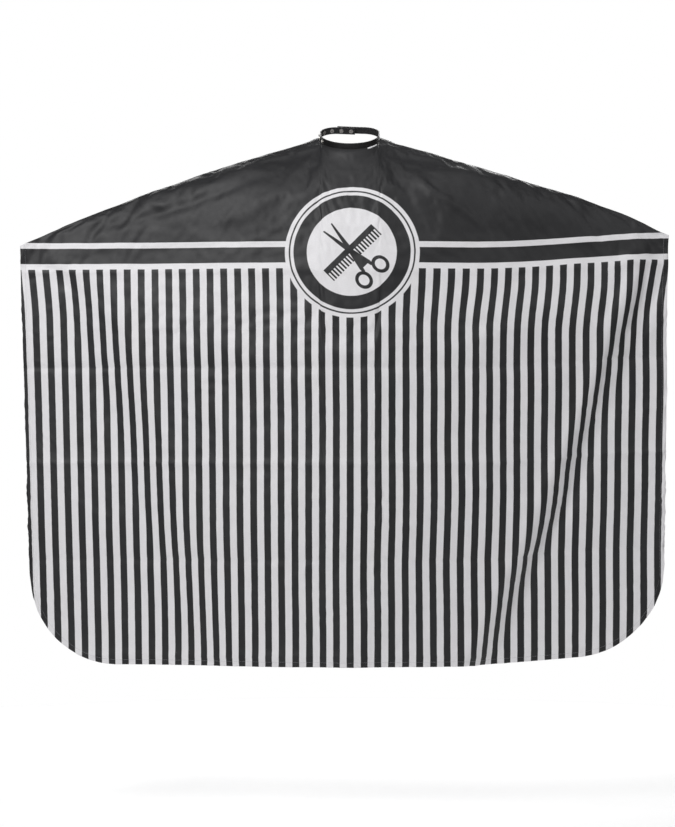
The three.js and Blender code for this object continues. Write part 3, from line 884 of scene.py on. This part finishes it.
def build_panel(settings):
    hung, flat = cloth_grid()
    hung = drape(hung, flat, settings)
    points, cut = finer(hung), finer(flat)
    filled = filled_cells(cut)
    hem = edge_distance(cut, filled)
    free = smooth(0.0, 0.05, np.linalg.norm(points - np.array([0, -0.02, -0.02]), axis=2) - NECK_RADIUS)
    sway = smooth(-0.5, 0.3, cut[:, :, 0]) * waves(cut[:, :, ::-1], 5, 0.17, 2.5)
    points[:, :, 0] += 0.0035 * free * sway
    lift = wrinkle_height(points) + press_height(cut, settings)
    lift += 0.0016 * waves(cut, 3, 0.055, 4.0) + 0.0006 * waves(cut, 8, 0.021, 3.0)
    pucker = 0.0005 * np.sin(cut[:, :, 0] / 0.0042) * np.exp(-hem / 0.012)
    points = points + grid_normals(points) * ((lift + pucker) * free)[:, :, None]
    thickness = np.where(hem < HEM_WIDTH, settings.hem_thickness, settings.cloth_thickness)
    normals = grid_normals(points)
    panel = closed_sheet("cape_cloth", points, normals, thickness, filled, cut)
    shade_smooth(panel)
    give(panel, printed_cloth(settings, False), printed_cloth(settings, True))
    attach(panel, "root")
    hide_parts("cape_panel")
    return panel, points, normals, cut, filled


# ------------------------------------------------------------------ sewing

def stitches(points, outs, length, gap, radius, lift=0.25):
    """Thread stitches along a line of points; each dips into the cloth at both ends."""
    points, outs = np.array(points), np.array(outs)
    run = run_along(points)
    count = int(run[-1] / (length + gap))
    verts, faces = [], []
    sides = 6
    shares = (0.0, 0.18, 0.5, 0.82, 1.0)
    swell = (0.35, 0.95, 1.0, 0.95, 0.35)
    rise = (-0.9, 0.15, lift, 0.15, -0.9)
    for k in range(count):
        start = k * (length + gap) + gap / 2
        at = [start + length * s for s in shares]
        spine = point_at(at, run, points)
        out = point_at(at[2], run, outs)
        out /= np.linalg.norm(out)
        along = spine[-1] - spine[0]
        along /= np.linalg.norm(along)
        side = np.cross(along, out)
        base = len(verts)
        for p, fat, up in zip(spine, swell, rise):
            for s in range(sides):
                angle = 2 * math.pi * s / sides
                ring = side * math.cos(angle) + out * math.sin(angle)
                verts.append(p + out * up * radius + ring * radius * fat)
        faces += tube_faces(len(shares), sides, base)
    return verts, faces


def joined(parts):
    verts, faces = [], []
    for some_verts, some_faces in parts:
        base = len(verts)
        verts += [tuple(v) for v in some_verts]
        faces += [tuple(base + i for i in face) for face in some_faces]
    return verts, faces


def mesh_piece(name, parts):
    mesh = new_mesh(name, *joined(parts))
    mesh.validate()
    return link(name, mesh)


def slope_inset(cut, i, j, inset):
    """Distance down a lengthwise line that keeps a seam square to a sloping edge."""
    d = cut[min(i + 1, len(cut) - 1), j] - cut[max(i - 1, 0), j]
    return inset * math.hypot(*d) / max(abs(d[0]), 1e-6)


def hem_lines(points, normals, cut, inset):
    """The seam's lines of (point, outward): bottom, both arm lines, both sides."""
    last = points.shape[1] - 1
    left = int(np.argmin(np.abs(cut[:, 0, 0] - (cut[0, 0, 0] + inset))))
    right = int(np.argmin(np.abs(cut[:, 0, 0] - (cut[-1, 0, 0] - inset))))
    bottom, tops, sides = [], {-1: [], 1: []}, []
    for i in range(left, right + 1):
        run = run_along(cut[i])
        at = run[-1] - min(slope_inset(cut, i, last, inset), 0.9 * run[-1])
        bottom.append((point_at(at, run, points[i]), point_at(at, run, normals[i])))
        u = cut[i, 0, 0]
        if abs(u) > NECK_RADIUS + 0.006:
            at = min(slope_inset(cut, i, 0, inset), 0.04)
            tops[1 if u > 0 else -1].append((point_at(at, run, points[i]), point_at(at, run, normals[i])))
    for i in (left, right):
        run = run_along(cut[i])
        lowest = run[-1] - min(slope_inset(cut, i, last, inset), 0.9 * run[-1])
        keep = np.flatnonzero((run > inset) & (run < lowest))
        sides.append([(points[i, j], normals[i, j]) for j in keep])
    return [line for line in (bottom, tops[-1], tops[1], *sides) if len(line) > 2]


def hem_stitching(points, normals, cut, settings):
    """Two rows of thread round the hem: one seen from the front, one from the back."""
    half = settings.hem_thickness / 2
    parts = []
    for line in hem_lines(points, normals, cut, settings.hem_seam):
        spots, outs = np.array([p for p, _ in line]), np.array([o for _, o in line])
        for face in (1, -1):
            parts.append(stitches(
                spots + outs * half * face, outs * face,
                settings.stitch_length, settings.stitch_gap, settings.thread_radius))
    piece = mesh_piece("hem_stitching", parts)
    shade_smooth(piece)
    give(piece, thread_material("hem_thread", settings.thread_colour))
    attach(piece, "root")
    return piece


# ------------------------------------------------------------------ neckband

def band_section():
    """Outline of the sewn band: rounded folded edges and slightly pillowed faces."""
    half_t, half_h = BAND_THICK / 2, BAND_HEIGHT / 2
    corner = half_t * 0.8
    outline = []
    for sx, sy, start in ((1, 1, 0), (-1, 1, 90), (-1, -1, 180), (1, -1, 270)):
        cx, cy = sx * (half_t - corner), sy * (half_h - corner)
        for k in range(5):
            a = math.radians(start + 22.5 * k)
            outline.append((cx + corner * math.cos(a), cy + corner * math.sin(a)))
    full = []
    for k, (x, y) in enumerate(outline):
        ny = outline[(k + 1) % len(outline)][1]
        full.append((x, y))
        if abs(ny - y) > half_h:
            for s in np.linspace(0, 1, 9)[1:-1]:
                yy = mix(y, ny, s)
                seam = 0.00035 * math.exp(-(((abs(yy) - (half_h - BAND_SEAM)) / 0.0006) ** 2))
                full.append((x - math.copysign(seam, x), yy))
    return full


def sweep(path, section):
    """A closed band along (point, outward) stations in the tilted plane."""
    verts = []
    for point, out in path:
        for offset, height in section:
            at = point + out * offset
            verts.append(band_world(at.x, at.y, height))
    return verts, tube_faces(len(path), len(section))


def eased(path, rounds=3):
    """The same stations with the bend line's small kink smoothed out."""
    for _ in range(rounds):
        inner = []
        for (p0, o0), (p1, o1), (p2, o2) in zip(path, path[1:], path[2:]):
            inner.append(((p0 + p1 * 2 + p2) / 4, (o0 + o1 * 2 + o2).normalized()))
        path = [path[0], *inner, path[-1]]
    return path


BLEND_REACH = 0.009      # band on the fixed side of a bend line that belongs to the bending piece


def fixed_path():
    return [band_point(s) for s in np.linspace(BLEND_REACH, BAND_LENGTH - BLEND_REACH, 150)]


def end_path(side):
    """Stations of one end: from its seam on the fixed band, over the bend line, to its tip."""
    if side < 0:
        near = [band_point(s) for s in np.linspace(BLEND_REACH, 0, 9)[:-1]]
        origin, along, length = LEFT_BEND, LEFT_ALONG, FIRST_STUD + SNAP_PITCH + STUD_MARGIN
    else:
        near = [band_point(s) for s in np.linspace(BAND_LENGTH - BLEND_REACH, BAND_LENGTH, 9)[:-1]]
        origin, along, length = RIGHT_BEND, RIGHT_ALONG, LAP_LENGTH - FIRST_STUD + SOCKET_MARGIN
    far = [(origin + along * d, LAP_OUT) for d in np.linspace(0, length, 44)]
    path = near + far
    return eased(path[:24]) + path[24:]


def band_stitch_rows(path, settings):
    parts = []
    for height in (BAND_HEIGHT / 2 - BAND_SEAM, BAND_SEAM - BAND_HEIGHT / 2):
        for face in (1, -1):
            spots, outs = [], []
            for point, out in path:
                at = point + out * (face * (BAND_THICK / 2 - 0.0002))
                spots.append(band_world(at.x, at.y, height))
                outs.append(band_world(out.x * face, out.y * face, 0))
            parts.append(stitches(
                spots, outs, settings.stitch_length, settings.stitch_gap, settings.thread_radius * 0.8))
    return parts


def band_piece(name, path, settings, materials):
    """One part of the band: satin outside, lining inside, and its thread."""
    section = band_section()
    body = sweep(path, section)
    verts, faces = joined([body, *band_stitch_rows(path, settings)])
    mesh = new_mesh(name, verts, faces)
    inside = [int(offset < 0 and abs(height) < BAND_HEIGHT / 2 - 0.001) for offset, height in section]
    cloth = [inside[index % len(section)] for index in range(len(body[1]))]
    mesh.polygons.foreach_set("material_index", cloth + [2] * (len(faces) - len(cloth)))
    piece = link(name, mesh)
    shade_smooth(piece, 50)
    give(piece, *materials)
    return piece


def build_band(settings, cape):
    materials = (
        band_cloth("band_satin", settings.band_colour, 0.42, 2400.0),
        band_cloth("band_lining_cloth", (0.07, 0.07, 0.08), 0.75, 1500.0),
        thread_material("band_thread", (0.07, 0.07, 0.08)),
    )
    fixed = band_piece("neckband_fixed", fixed_path(), cape, materials)
    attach(fixed, "root")
    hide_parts("neckband_outer", "neckband_interfacing", "neckband_lining")
    ends = ((-1, "left", LEFT_BEND, LEFT_ALONG), (1, "right", RIGHT_BEND, RIGHT_ALONG))
    for side, word, bend, along in ends:
        piece = band_piece(f"neckband_{word}_end", end_path(side), cape, materials)
        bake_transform(piece)
        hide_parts(f"{word}_end_outer", f"{word}_end_interfacing", f"{word}_end_lining")


# ------------------------------------------------------------------ snap fasteners

def rounded(profile, radius, closed=False):
    """The profile with its corners rounded, except where it meets the axis."""
    result = []
    count = len(profile)
    for k, (r, h) in enumerate(profile):
        before, after = profile[k - 1], profile[(k + 1) % count]
        if r == 0 or (not closed and k in (0, count - 1)):
            result.append((r, h))
            continue
        here = Vector((r, h))
        a, b = Vector(before) - here, Vector(after) - here
        reach = min(radius, a.length * 0.45, b.length * 0.45)
        a, b = a.normalized() * reach, b.normalized() * reach
        for t in (0, 0.25, 0.5, 0.75, 1):
            spot = here + a * (1 - t) ** 2 + b * t ** 2
            result.append(tuple(spot))
    return result


def lathe(name, profile, closed=False, segments=48):
    """Turns a (radius, height) profile about its height."""
    verts, faces, rings = [], [], []
    for r, h in profile:
        count = 1 if r == 0 else segments
        rings.append((len(verts), count))
        for s in range(count):
            a = 2 * math.pi * s / segments
            verts.append((r * math.cos(a), r * math.sin(a), h))
    pairs = list(zip(rings, rings[1:] + rings[:1]))
    for (a, na), (b, nb) in pairs if closed else pairs[:-1]:
        for s in range(segments):
            t = (s + 1) % segments
            quad = [a + s % na, a + t % na, b + t % nb, b + s % nb]
            quad = list(dict.fromkeys(quad))
            if len(quad) > 2:
                faces.append(tuple(quad))
    return new_mesh(name, verts, faces)


STUD_HEIGHT = FLANGE_THICK + 0.0020      # flange and head
STUD_WALL = 0.0008
STUD_HEAD = 0.0024
STUD_NECK = 0.00205
BARREL = 0.0013
MOUTH = STUD_HEAD + 0.00055             # with the room that a socket leaves
WIRE = 0.0003
WIRE_ROOM = 0.00035
CAP_RADIUS = 0.0052
CAP_HEIGHT = 0.0016


def stud_mesh():
    """Male half: a hollow head with a dimple, a waist, and a flange with a rolled edge."""
    top = STUD_HEIGHT
    inside = STUD_HEAD - STUD_WALL
    return lathe("snap_stud", rounded([
        (0, top - STUD_WALL), (inside * 0.9, top - STUD_WALL), (inside, 0), (FLANGE_RADIUS, 0),
        (FLANGE_RADIUS, FLANGE_THICK), (FLANGE_RADIUS - 0.0006, FLANGE_THICK * 1.1),
        (FLANGE_RADIUS - 0.0011, FLANGE_THICK * 0.75), (STUD_NECK + 0.0004, FLANGE_THICK * 0.8),
        (STUD_NECK, FLANGE_THICK + 0.0003), (STUD_HEAD, top - 0.0010), (STUD_HEAD, top - 0.0005),
        (STUD_NECK - 0.0002, top), (0.0009, top), (0.0006, top - 0.00035), (0, top - 0.0004),
    ], 0.00025))


def post_mesh():
    """Rivet on the lining side: a flat rolled flange with a tube that goes through the band."""
    room = SEAT_GAP + FLANGE_RADIUS ** 2 / (2 * (BACK_CORNER - BAND_THICK / 2))
    back = -(BAND_THICK + SEAT_GAP + room + FLANGE_THICK)
    tip = STUD_HEIGHT - STUD_WALL - 0.0003
    return lathe("snap_post", rounded([
        (0, back + 0.0008), (BARREL * 0.7, back + 0.0008), (BARREL * 0.8, back),
        (FLANGE_RADIUS, back), (FLANGE_RADIUS, back + FLANGE_THICK),
        (BARREL, back + FLANGE_THICK), (BARREL, tip), (0, tip),
    ], 0.00025))


def cap_mesh():
    """Domed cap seen on the outside of the closing end."""
    tip = -(BAND_THICK + 2 * SEAT_GAP + FLANGE_THICK)
    dome = [
        (CAP_RADIUS * math.cos(a), CAP_HEIGHT * (0.25 + 0.75 * math.sin(a)))
        for a in np.linspace(0.12, math.pi / 2, 14)[:-1]
    ]
    return lathe("snap_cap", rounded([
        (0, tip), (BARREL, tip), (BARREL, 0), (CAP_RADIUS * 0.96, 0), (CAP_RADIUS, CAP_HEIGHT * 0.15),
    ], 0.0003) + dome + [(0, CAP_HEIGHT)])


def socket_mesh():
    """Female half: a ring with an open mouth and an inner groove for its spring."""
    face = -SOCKET_HEIGHT
    low = face + FLANGE_THICK - 0.0002
    high = low + 2 * (WIRE + WIRE_ROOM)
    groove = MOUTH + 2 * WIRE + WIRE_ROOM
    hole = BARREL + 0.0003
    return lathe("snap_socket", rounded([
        (hole, -FLANGE_THICK), (MOUTH, -FLANGE_THICK), (MOUTH, high), (groove, high), (groove, low),
        (MOUTH, low), (MOUTH, face), (FLANGE_RADIUS - 0.0005, face), (FLANGE_RADIUS, face + 0.0006),
        (FLANGE_RADIUS, 0), (hole, 0),
    ], 0.0002, closed=True), closed=True)


def spring_mesh():
    """Open ring of round wire that grips the stud's waist."""
    height = -SOCKET_HEIGHT + FLANGE_THICK - 0.0002 + WIRE + WIRE_ROOM
    radius = MOUTH + WIRE
    verts = []
    turns, sides = 60, 10
    for k in range(turns + 1):
        a = math.radians(20 + 320 * k / turns)
        for s in range(sides):
            b = 2 * math.pi * s / sides
            r = radius + WIRE * math.cos(b)
            verts.append((r * math.cos(a), r * math.sin(a), height + WIRE * math.sin(b)))
    return new_mesh("snap_spring", verts, tube_faces(turns + 1, sides))


def snap_place(point, out, offset):
    """Where a snap piece stands: turned so that its height points outwards from the band."""
    spot = point + out * offset
    outwards = band_world(out.x, out.y, 0).normalized()
    up = band_world(0, 0, 1).normalized()
    side = up.cross(outwards)
    turn = Matrix((side, up, outwards)).transposed().to_4x4()
    return Matrix.Translation(band_world(spot.x, spot.y, 0)) @ turn


def snap_piece(name, mesh, place, body, material):
    piece = link(f"{name}_fine", mesh)
    piece.matrix_world = place
    if not mesh.materials:
        shade_smooth(piece, 40)
        give(piece, material)
    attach(piece, body)
    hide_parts(name)


def build_snaps(settings):
    bright = snap_metal("bright_snap_nickel", settings.snap_colour, 0.22)
    plain = snap_metal("plain_snap_nickel", (0.62, 0.61, 0.60), 0.36)
    steel = snap_metal("spring_steel", (0.50, 0.51, 0.54), 0.28)
    face = BAND_THICK / 2 + SEAT_GAP
    stud, post = stud_mesh(), post_mesh()
    stations = []
    for i in reversed(range(BAND_STUDS)):
        stations.append((*band_point(FIRST_STUD + i * SNAP_PITCH), "root"))
    for i in range(END_STUDS):
        stations.append((LEFT_BEND + LEFT_ALONG * (FIRST_STUD + i * SNAP_PITCH), LAP_OUT, "left_end"))
    for number, (point, out, body) in enumerate(stations, 1):
        place = snap_place(point, out, face)
        snap_piece(f"snap_stud_{number}", stud, place, body, bright)
        snap_piece(f"snap_post_{number}", post, place, body, plain)
    cap, socket, spring = cap_mesh(), socket_mesh(), spring_mesh()
    for i in range(END_STUDS):
        point = RIGHT_BEND + RIGHT_ALONG * (LAP_LENGTH - FIRST_STUD - i * SNAP_PITCH)
        outer, inner = snap_place(point, LAP_OUT, face), snap_place(point, LAP_OUT, -face)
        snap_piece(f"snap_cap_{i + 1}", cap, outer, "right_end", bright)
        snap_piece(f"snap_socket_{i + 1}", socket, inner, "right_end", plain)
        snap_piece(f"snap_spring_{i + 1}", spring, inner, "right_end", steel)


# ------------------------------------------------------------------ label

def tape_material():
    """White woven tape."""
    material, n, shader = surface("label_tape", 0.6)
    shader.inputs["Sheen Weight"].default_value = 0.2
    where = object_vector(n)
    weave = use_group(n, weave_group(), Vector=where, Scale=2600.0)
    white = linear((0.90, 0.90, 0.91))
    shaded = [c * 0.75 for c in white[:3]] + [1]
    # Painted shade of the weave: white darkens where the threads dip, with random slub tone
    n.put(shader.inputs["Base Color"], n.blend(weave["Thread shade and slub tone"], shaded, white))
    n.put(shader.inputs["Normal"], n.bump(weave["Height"], 0.5, 0.00015))
    return material


def build_label(points, normals, cut, settings):
    """A blank folded tape, sewn flat under the neckband with a stitch row at each end."""
    low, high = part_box("size_label")
    width = high[0] - low[0]
    middle = (high[0] + low[0]) / 2
    first = turned_rows(cut)
    xs = points[:, first, 0]
    rows = range(first, first + 14)
    run = run_along(np.array([point_at(middle, xs, points[:, j]) for j in rows]))
    steps_across, steps_down = 18, 8

    def spot(x, distance, lift):
        j = np.interp(distance + NECK_TUCK, run, list(rows))
        low_row, share = int(j), j - int(j)
        at, out = np.zeros(3), np.zeros(3)
        for row, weight in ((low_row, 1 - share), (low_row + 1, share)):
            at += weight * point_at(x, xs, points[:, row])
            out += weight * point_at(x, xs, normals[:, row])
        out /= np.linalg.norm(out)
        return at + out * lift, out

    grid, outs = [], []
    for i in range(steps_across + 1):
        x = middle + width * (i / steps_across - 0.5)
        bulge = 0.0004 * math.sin(math.pi * i / steps_across)
        depths = [settings.label_depth * j / steps_down for j in range(steps_down + 1)]
        line = [spot(x, depth, 0.0008 + bulge) for depth in depths]
        grid.append([p for p, _ in line])
        outs.append([o for _, o in line])
    grid, outs = np.array(grid), np.array(outs)
    thickness = np.full(grid.shape[:2], 0.0005)
    filled = np.ones((steps_across, steps_down), bool)
    tape = closed_sheet("size_label_tape", grid, outs, thickness, filled)
    shade_smooth(tape, 60)
    give(tape, tape_material(), tape_material())
    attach(tape, "root")
    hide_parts("size_label")
    ends = (1, steps_across - 1)
    sewn = mesh_piece("label_stitching", [
        stitches(grid[i] + outs[i] * 0.00028, outs[i], 0.0012, 0.0005, 0.00014) for i in ends])
    shade_smooth(sewn)
    give(sewn, thread_material("label_thread", (0.75, 0.75, 0.77)))
    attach(sewn, "root")
    return tape, sewn


# ------------------------------------------------------------------ stage

def area_light(name, spot, aim, size, power):
    light = bpy.data.lights.new(name, "AREA")
    light.shape = "RECTANGLE"
    light.size, light.size_y = size
    light.energy = power
    lamp = bpy.data.objects.new(name, light)
    lamp.location = spot
    lamp.rotation_euler = (Vector(aim) - Vector(spot)).to_track_quat("-Z", "Y").to_euler()
    bpy.context.collection.objects.link(lamp)


LIGHTS = (
    # name, place, what it points at, size, share of the key light's power
    ("key_left", (-1.15, -2.1, 0.85), (-0.25, 0, -0.35), (1.2, 1.2), 1.0),
    ("fill_right", (2.0, -2.2, 0.9), (0, -0.05, -0.6), (1.4, 1.4), 0.35),
    ("top", (0, -0.9, 1.9), (0, -0.1, -0.2), (2.2, 1.0), 0.35),
    ("rear", (0.9, 2.6, 1.4), (0, -0.05, -0.6), (2.0, 2.0), 0.35),
    ("floor_wash", (0, 1.9, 0.6), (0, 0.9, -1.43), (2.6, 1.2), 1.6),
)


def build_floor(settings):
    radius, steps = 2.2, 96
    ring = [
        (radius * math.cos(2 * math.pi * s / steps), radius * math.sin(2 * math.pi * s / steps), 0)
        for s in range(steps)]
    floor = link("studio_floor", new_mesh("studio_floor", ring, [tuple(range(steps))]))
    floor.location.z = settings.floor_height
    material, n, shader = surface("studio_floor_paint", 0.8)
    speckle = n.noise(object_vector(n), 40.0, 3.0)
    n.put(shader.inputs["Base Color"], n.blend(speckle, [0.90, 0.90, 0.90, 1], [0.93, 0.93, 0.93, 1]))
    give(floor, material)


def build_lights(settings):
    """White all round for the camera, a faint even light for the cape, and the soft lamps."""
    world = bpy.data.worlds.new("studio_white")
    bpy.context.scene.world = world
    world.use_nodes = True
    tree = world.node_tree
    n = Nodes(tree)
    sky = tree.nodes["Background"]
    sky.inputs["Color"].default_value = (1, 1, 1, 1)
    ray = n.add("ShaderNodeLightPath").outputs["Is Camera Ray"]
    n.put(sky.inputs["Strength"], n.math("MULTIPLY_ADD", ray, 1.0 - settings.ambient, settings.ambient))

    for name, spot, aim, size, share in LIGHTS:
        area_light(name, spot, aim, size, settings.key_power * share)


def build_camera():
    camera = bpy.data.cameras.new("camera")
    camera.sensor_fit = "VERTICAL"
    camera.sensor_height = 36
    camera.lens = 115
    eye = bpy.data.objects.new("camera", camera)
    bpy.context.collection.objects.link(eye)
    eye.location = (-0.026, -5.6, -0.585)
    eye.rotation_euler = (math.pi / 2, 0, 0)
    bpy.context.scene.camera = eye
    bpy.context.scene.view_settings.view_transform = "Standard"


# ------------------------------------------------------------------ add-on

def length(name, description, default):
    return bpy.props.FloatProperty(
        name=name, description=description, default=default, unit="LENGTH")


def colour(name, description, default):
    return bpy.props.FloatVectorProperty(
        name=name, description=description, default=default, subtype="COLOR")


class CapeSettings(bpy.types.PropertyGroup):
    """Sizes and colours of the cloth and its print."""

    drape_frames: bpy.props.IntProperty(
        name="Drape frames", description="Frames of cloth simulation", default=20, min=2)
    drape_limit: length("Drape limit", "Furthest that a point moves in the simulation", 0.03)
    drape_breadth: bpy.props.IntProperty(
        name="Drape breadth", description="Higher keeps broader folds of the simulation",
        default=120, min=1)
    drape_ease: bpy.props.FloatProperty(
        name="Drape ease", description="Share by which the cloth is looser than its hanging shape",
        default=0.006, min=0)
    cloth_thickness: length("Cloth thickness", "Shown thickness of the cloth", 0.00035)
    hem_thickness: length("Hem thickness", "Thickness of the doubled hem", 0.0012)
    hem_seam: length("Hem seam", "Distance of the hem's stitching from its edge", 0.0100)
    stitch_length: length("Stitch length", "Visible length of one stitch", 0.0021)
    stitch_gap: length("Stitch gap", "Gap between stitches", 0.0007)
    thread_radius: length("Thread radius", "Half the thickness of the thread", 0.00019)
    thread_colour: colour("Thread colour", "Colour of the hem thread", (0.62, 0.62, 0.64))
    stripe_pitch: length("Stripe pitch", "Distance from one stripe to the next", 0.0292)
    stripe_width: length("Stripe width", "Width of a dark stripe", 0.0146)
    stripes_start: length("Stripes start", "Top of the stripes from the upper white line", -0.0505)
    line_width: length("Line width", "Width of each white line", 0.012)
    motif_across: length("Motif across", "Middle of the round motif across the cut", 0.003)
    motif_up: length("Motif up", "Middle of the round motif above the upper white line", -0.016)
    motif_radius: length("Motif radius", "Radius of the round motif", 0.138)
    ink_colour: colour("Ink colour", "Colour of the dark print", (0.07, 0.07, 0.082))
    white_colour: colour("White colour", "Colour of the unprinted cloth", (0.90, 0.895, 0.905))
    press_start: length("First crease", "First packing crease from the upper white line", -0.055)
    press_pitch: length("Crease pitch", "Distance between packing creases", 0.201)
    press_height: length("Crease height", "Height of a packing crease", 0.0024)


class BandSettings(bpy.types.PropertyGroup):
    """Sizes and colours of the neckband, its snaps and the label."""

    band_colour: colour("Band colour", "Colour of the band's outer cloth", (0.045, 0.04, 0.048))
    snap_colour: colour("Snap colour", "Colour of the bright snap metal", (0.86, 0.85, 0.83))
    label_depth: length("Label depth", "Visible depth of the label", 0.0045)


class StageSettings(bpy.types.PropertyGroup):
    """Light and floor of the studio."""

    floor_height: length("Floor height", "Height of the studio floor", -1.43)
    ambient: bpy.props.FloatProperty(
        name="Ambient", description="Light that comes from all round", default=0.18)
    key_power: bpy.props.FloatProperty(
        name="Key power", description="Power of the main soft light", default=40, unit="POWER")


class CAPE_OT_panel(bpy.types.Operator):
    """Build the draped printed cloth with its stitched hem and label"""

    bl_idname = "cape.panel"
    bl_label = "Cape cloth"

    def execute(self, context):
        settings = context.scene.cape_settings
        panel, points, normals, cut, filled = build_panel(settings)
        hem = hem_stitching(points, normals, cut, settings)
        label = build_label(points, normals, cut, context.scene.band_settings)
        return {"FINISHED"}


class CAPE_OT_neckband(bpy.types.Operator):
    """Build the sewn neckband and its two ends"""

    bl_idname = "cape.neckband"
    bl_label = "Neckband"

    def execute(self, context):
        build_band(context.scene.band_settings, context.scene.cape_settings)
        return {"FINISHED"}


class CAPE_OT_snaps(bpy.types.Operator):
    """Build the snap studs, posts, caps, sockets and springs"""

    bl_idname = "cape.snaps"
    bl_label = "Snap fasteners"

    def execute(self, context):
        build_snaps(context.scene.band_settings)
        return {"FINISHED"}


class CAPE_OT_stage(bpy.types.Operator):
    """Build the floor, lights and camera"""

    bl_idname = "cape.stage"
    bl_label = "Studio"

    def execute(self, context):
        settings = context.scene.stage_settings
        build_floor(settings)
        build_lights(settings)
        build_camera()
        return {"FINISHED"}


class CAPE_PT_parts(bpy.types.Panel):
    """Lists the pieces of the cape"""

    bl_label = "Barber Cape"
    bl_idname = "CAPE_PT_parts"
    bl_space_type = "VIEW_3D"
    bl_region_type = "UI"
    bl_category = "Barber Cape"

    def draw(self, context):
        layout = self.layout
        for operator in OPERATORS:
            layout.operator(operator.bl_idname)
        for name in SETTINGS:
            box = layout.box()
            group_of = getattr(context.scene, name)
            for key in group_of.bl_rna.properties.keys():
                if key not in ("rna_type", "name"):
                    box.prop(group_of, key)


OPERATORS = (CAPE_OT_panel, CAPE_OT_neckband, CAPE_OT_snaps, CAPE_OT_stage)
SETTINGS = {
    "cape_settings": CapeSettings,
    "band_settings": BandSettings,
    "stage_settings": StageSettings,
}


def register():
    for kind in (*SETTINGS.values(), *OPERATORS, CAPE_PT_parts):
        bpy.utils.register_class(kind)
    for name, kind in SETTINGS.items():
        setattr(bpy.types.Scene, name, bpy.props.PointerProperty(type=kind))


def unregister():
    for name in SETTINGS:
        delattr(bpy.types.Scene, name)
    for kind in reversed((*SETTINGS.values(), *OPERATORS, CAPE_PT_parts)):
        bpy.utils.unregister_class(kind)


def main():
    register()
    bpy.ops.cape.panel()
    bpy.ops.cape.neckband()
    bpy.ops.cape.snaps()
    bpy.ops.cape.stage()


if __name__ == "__main__":
    main()
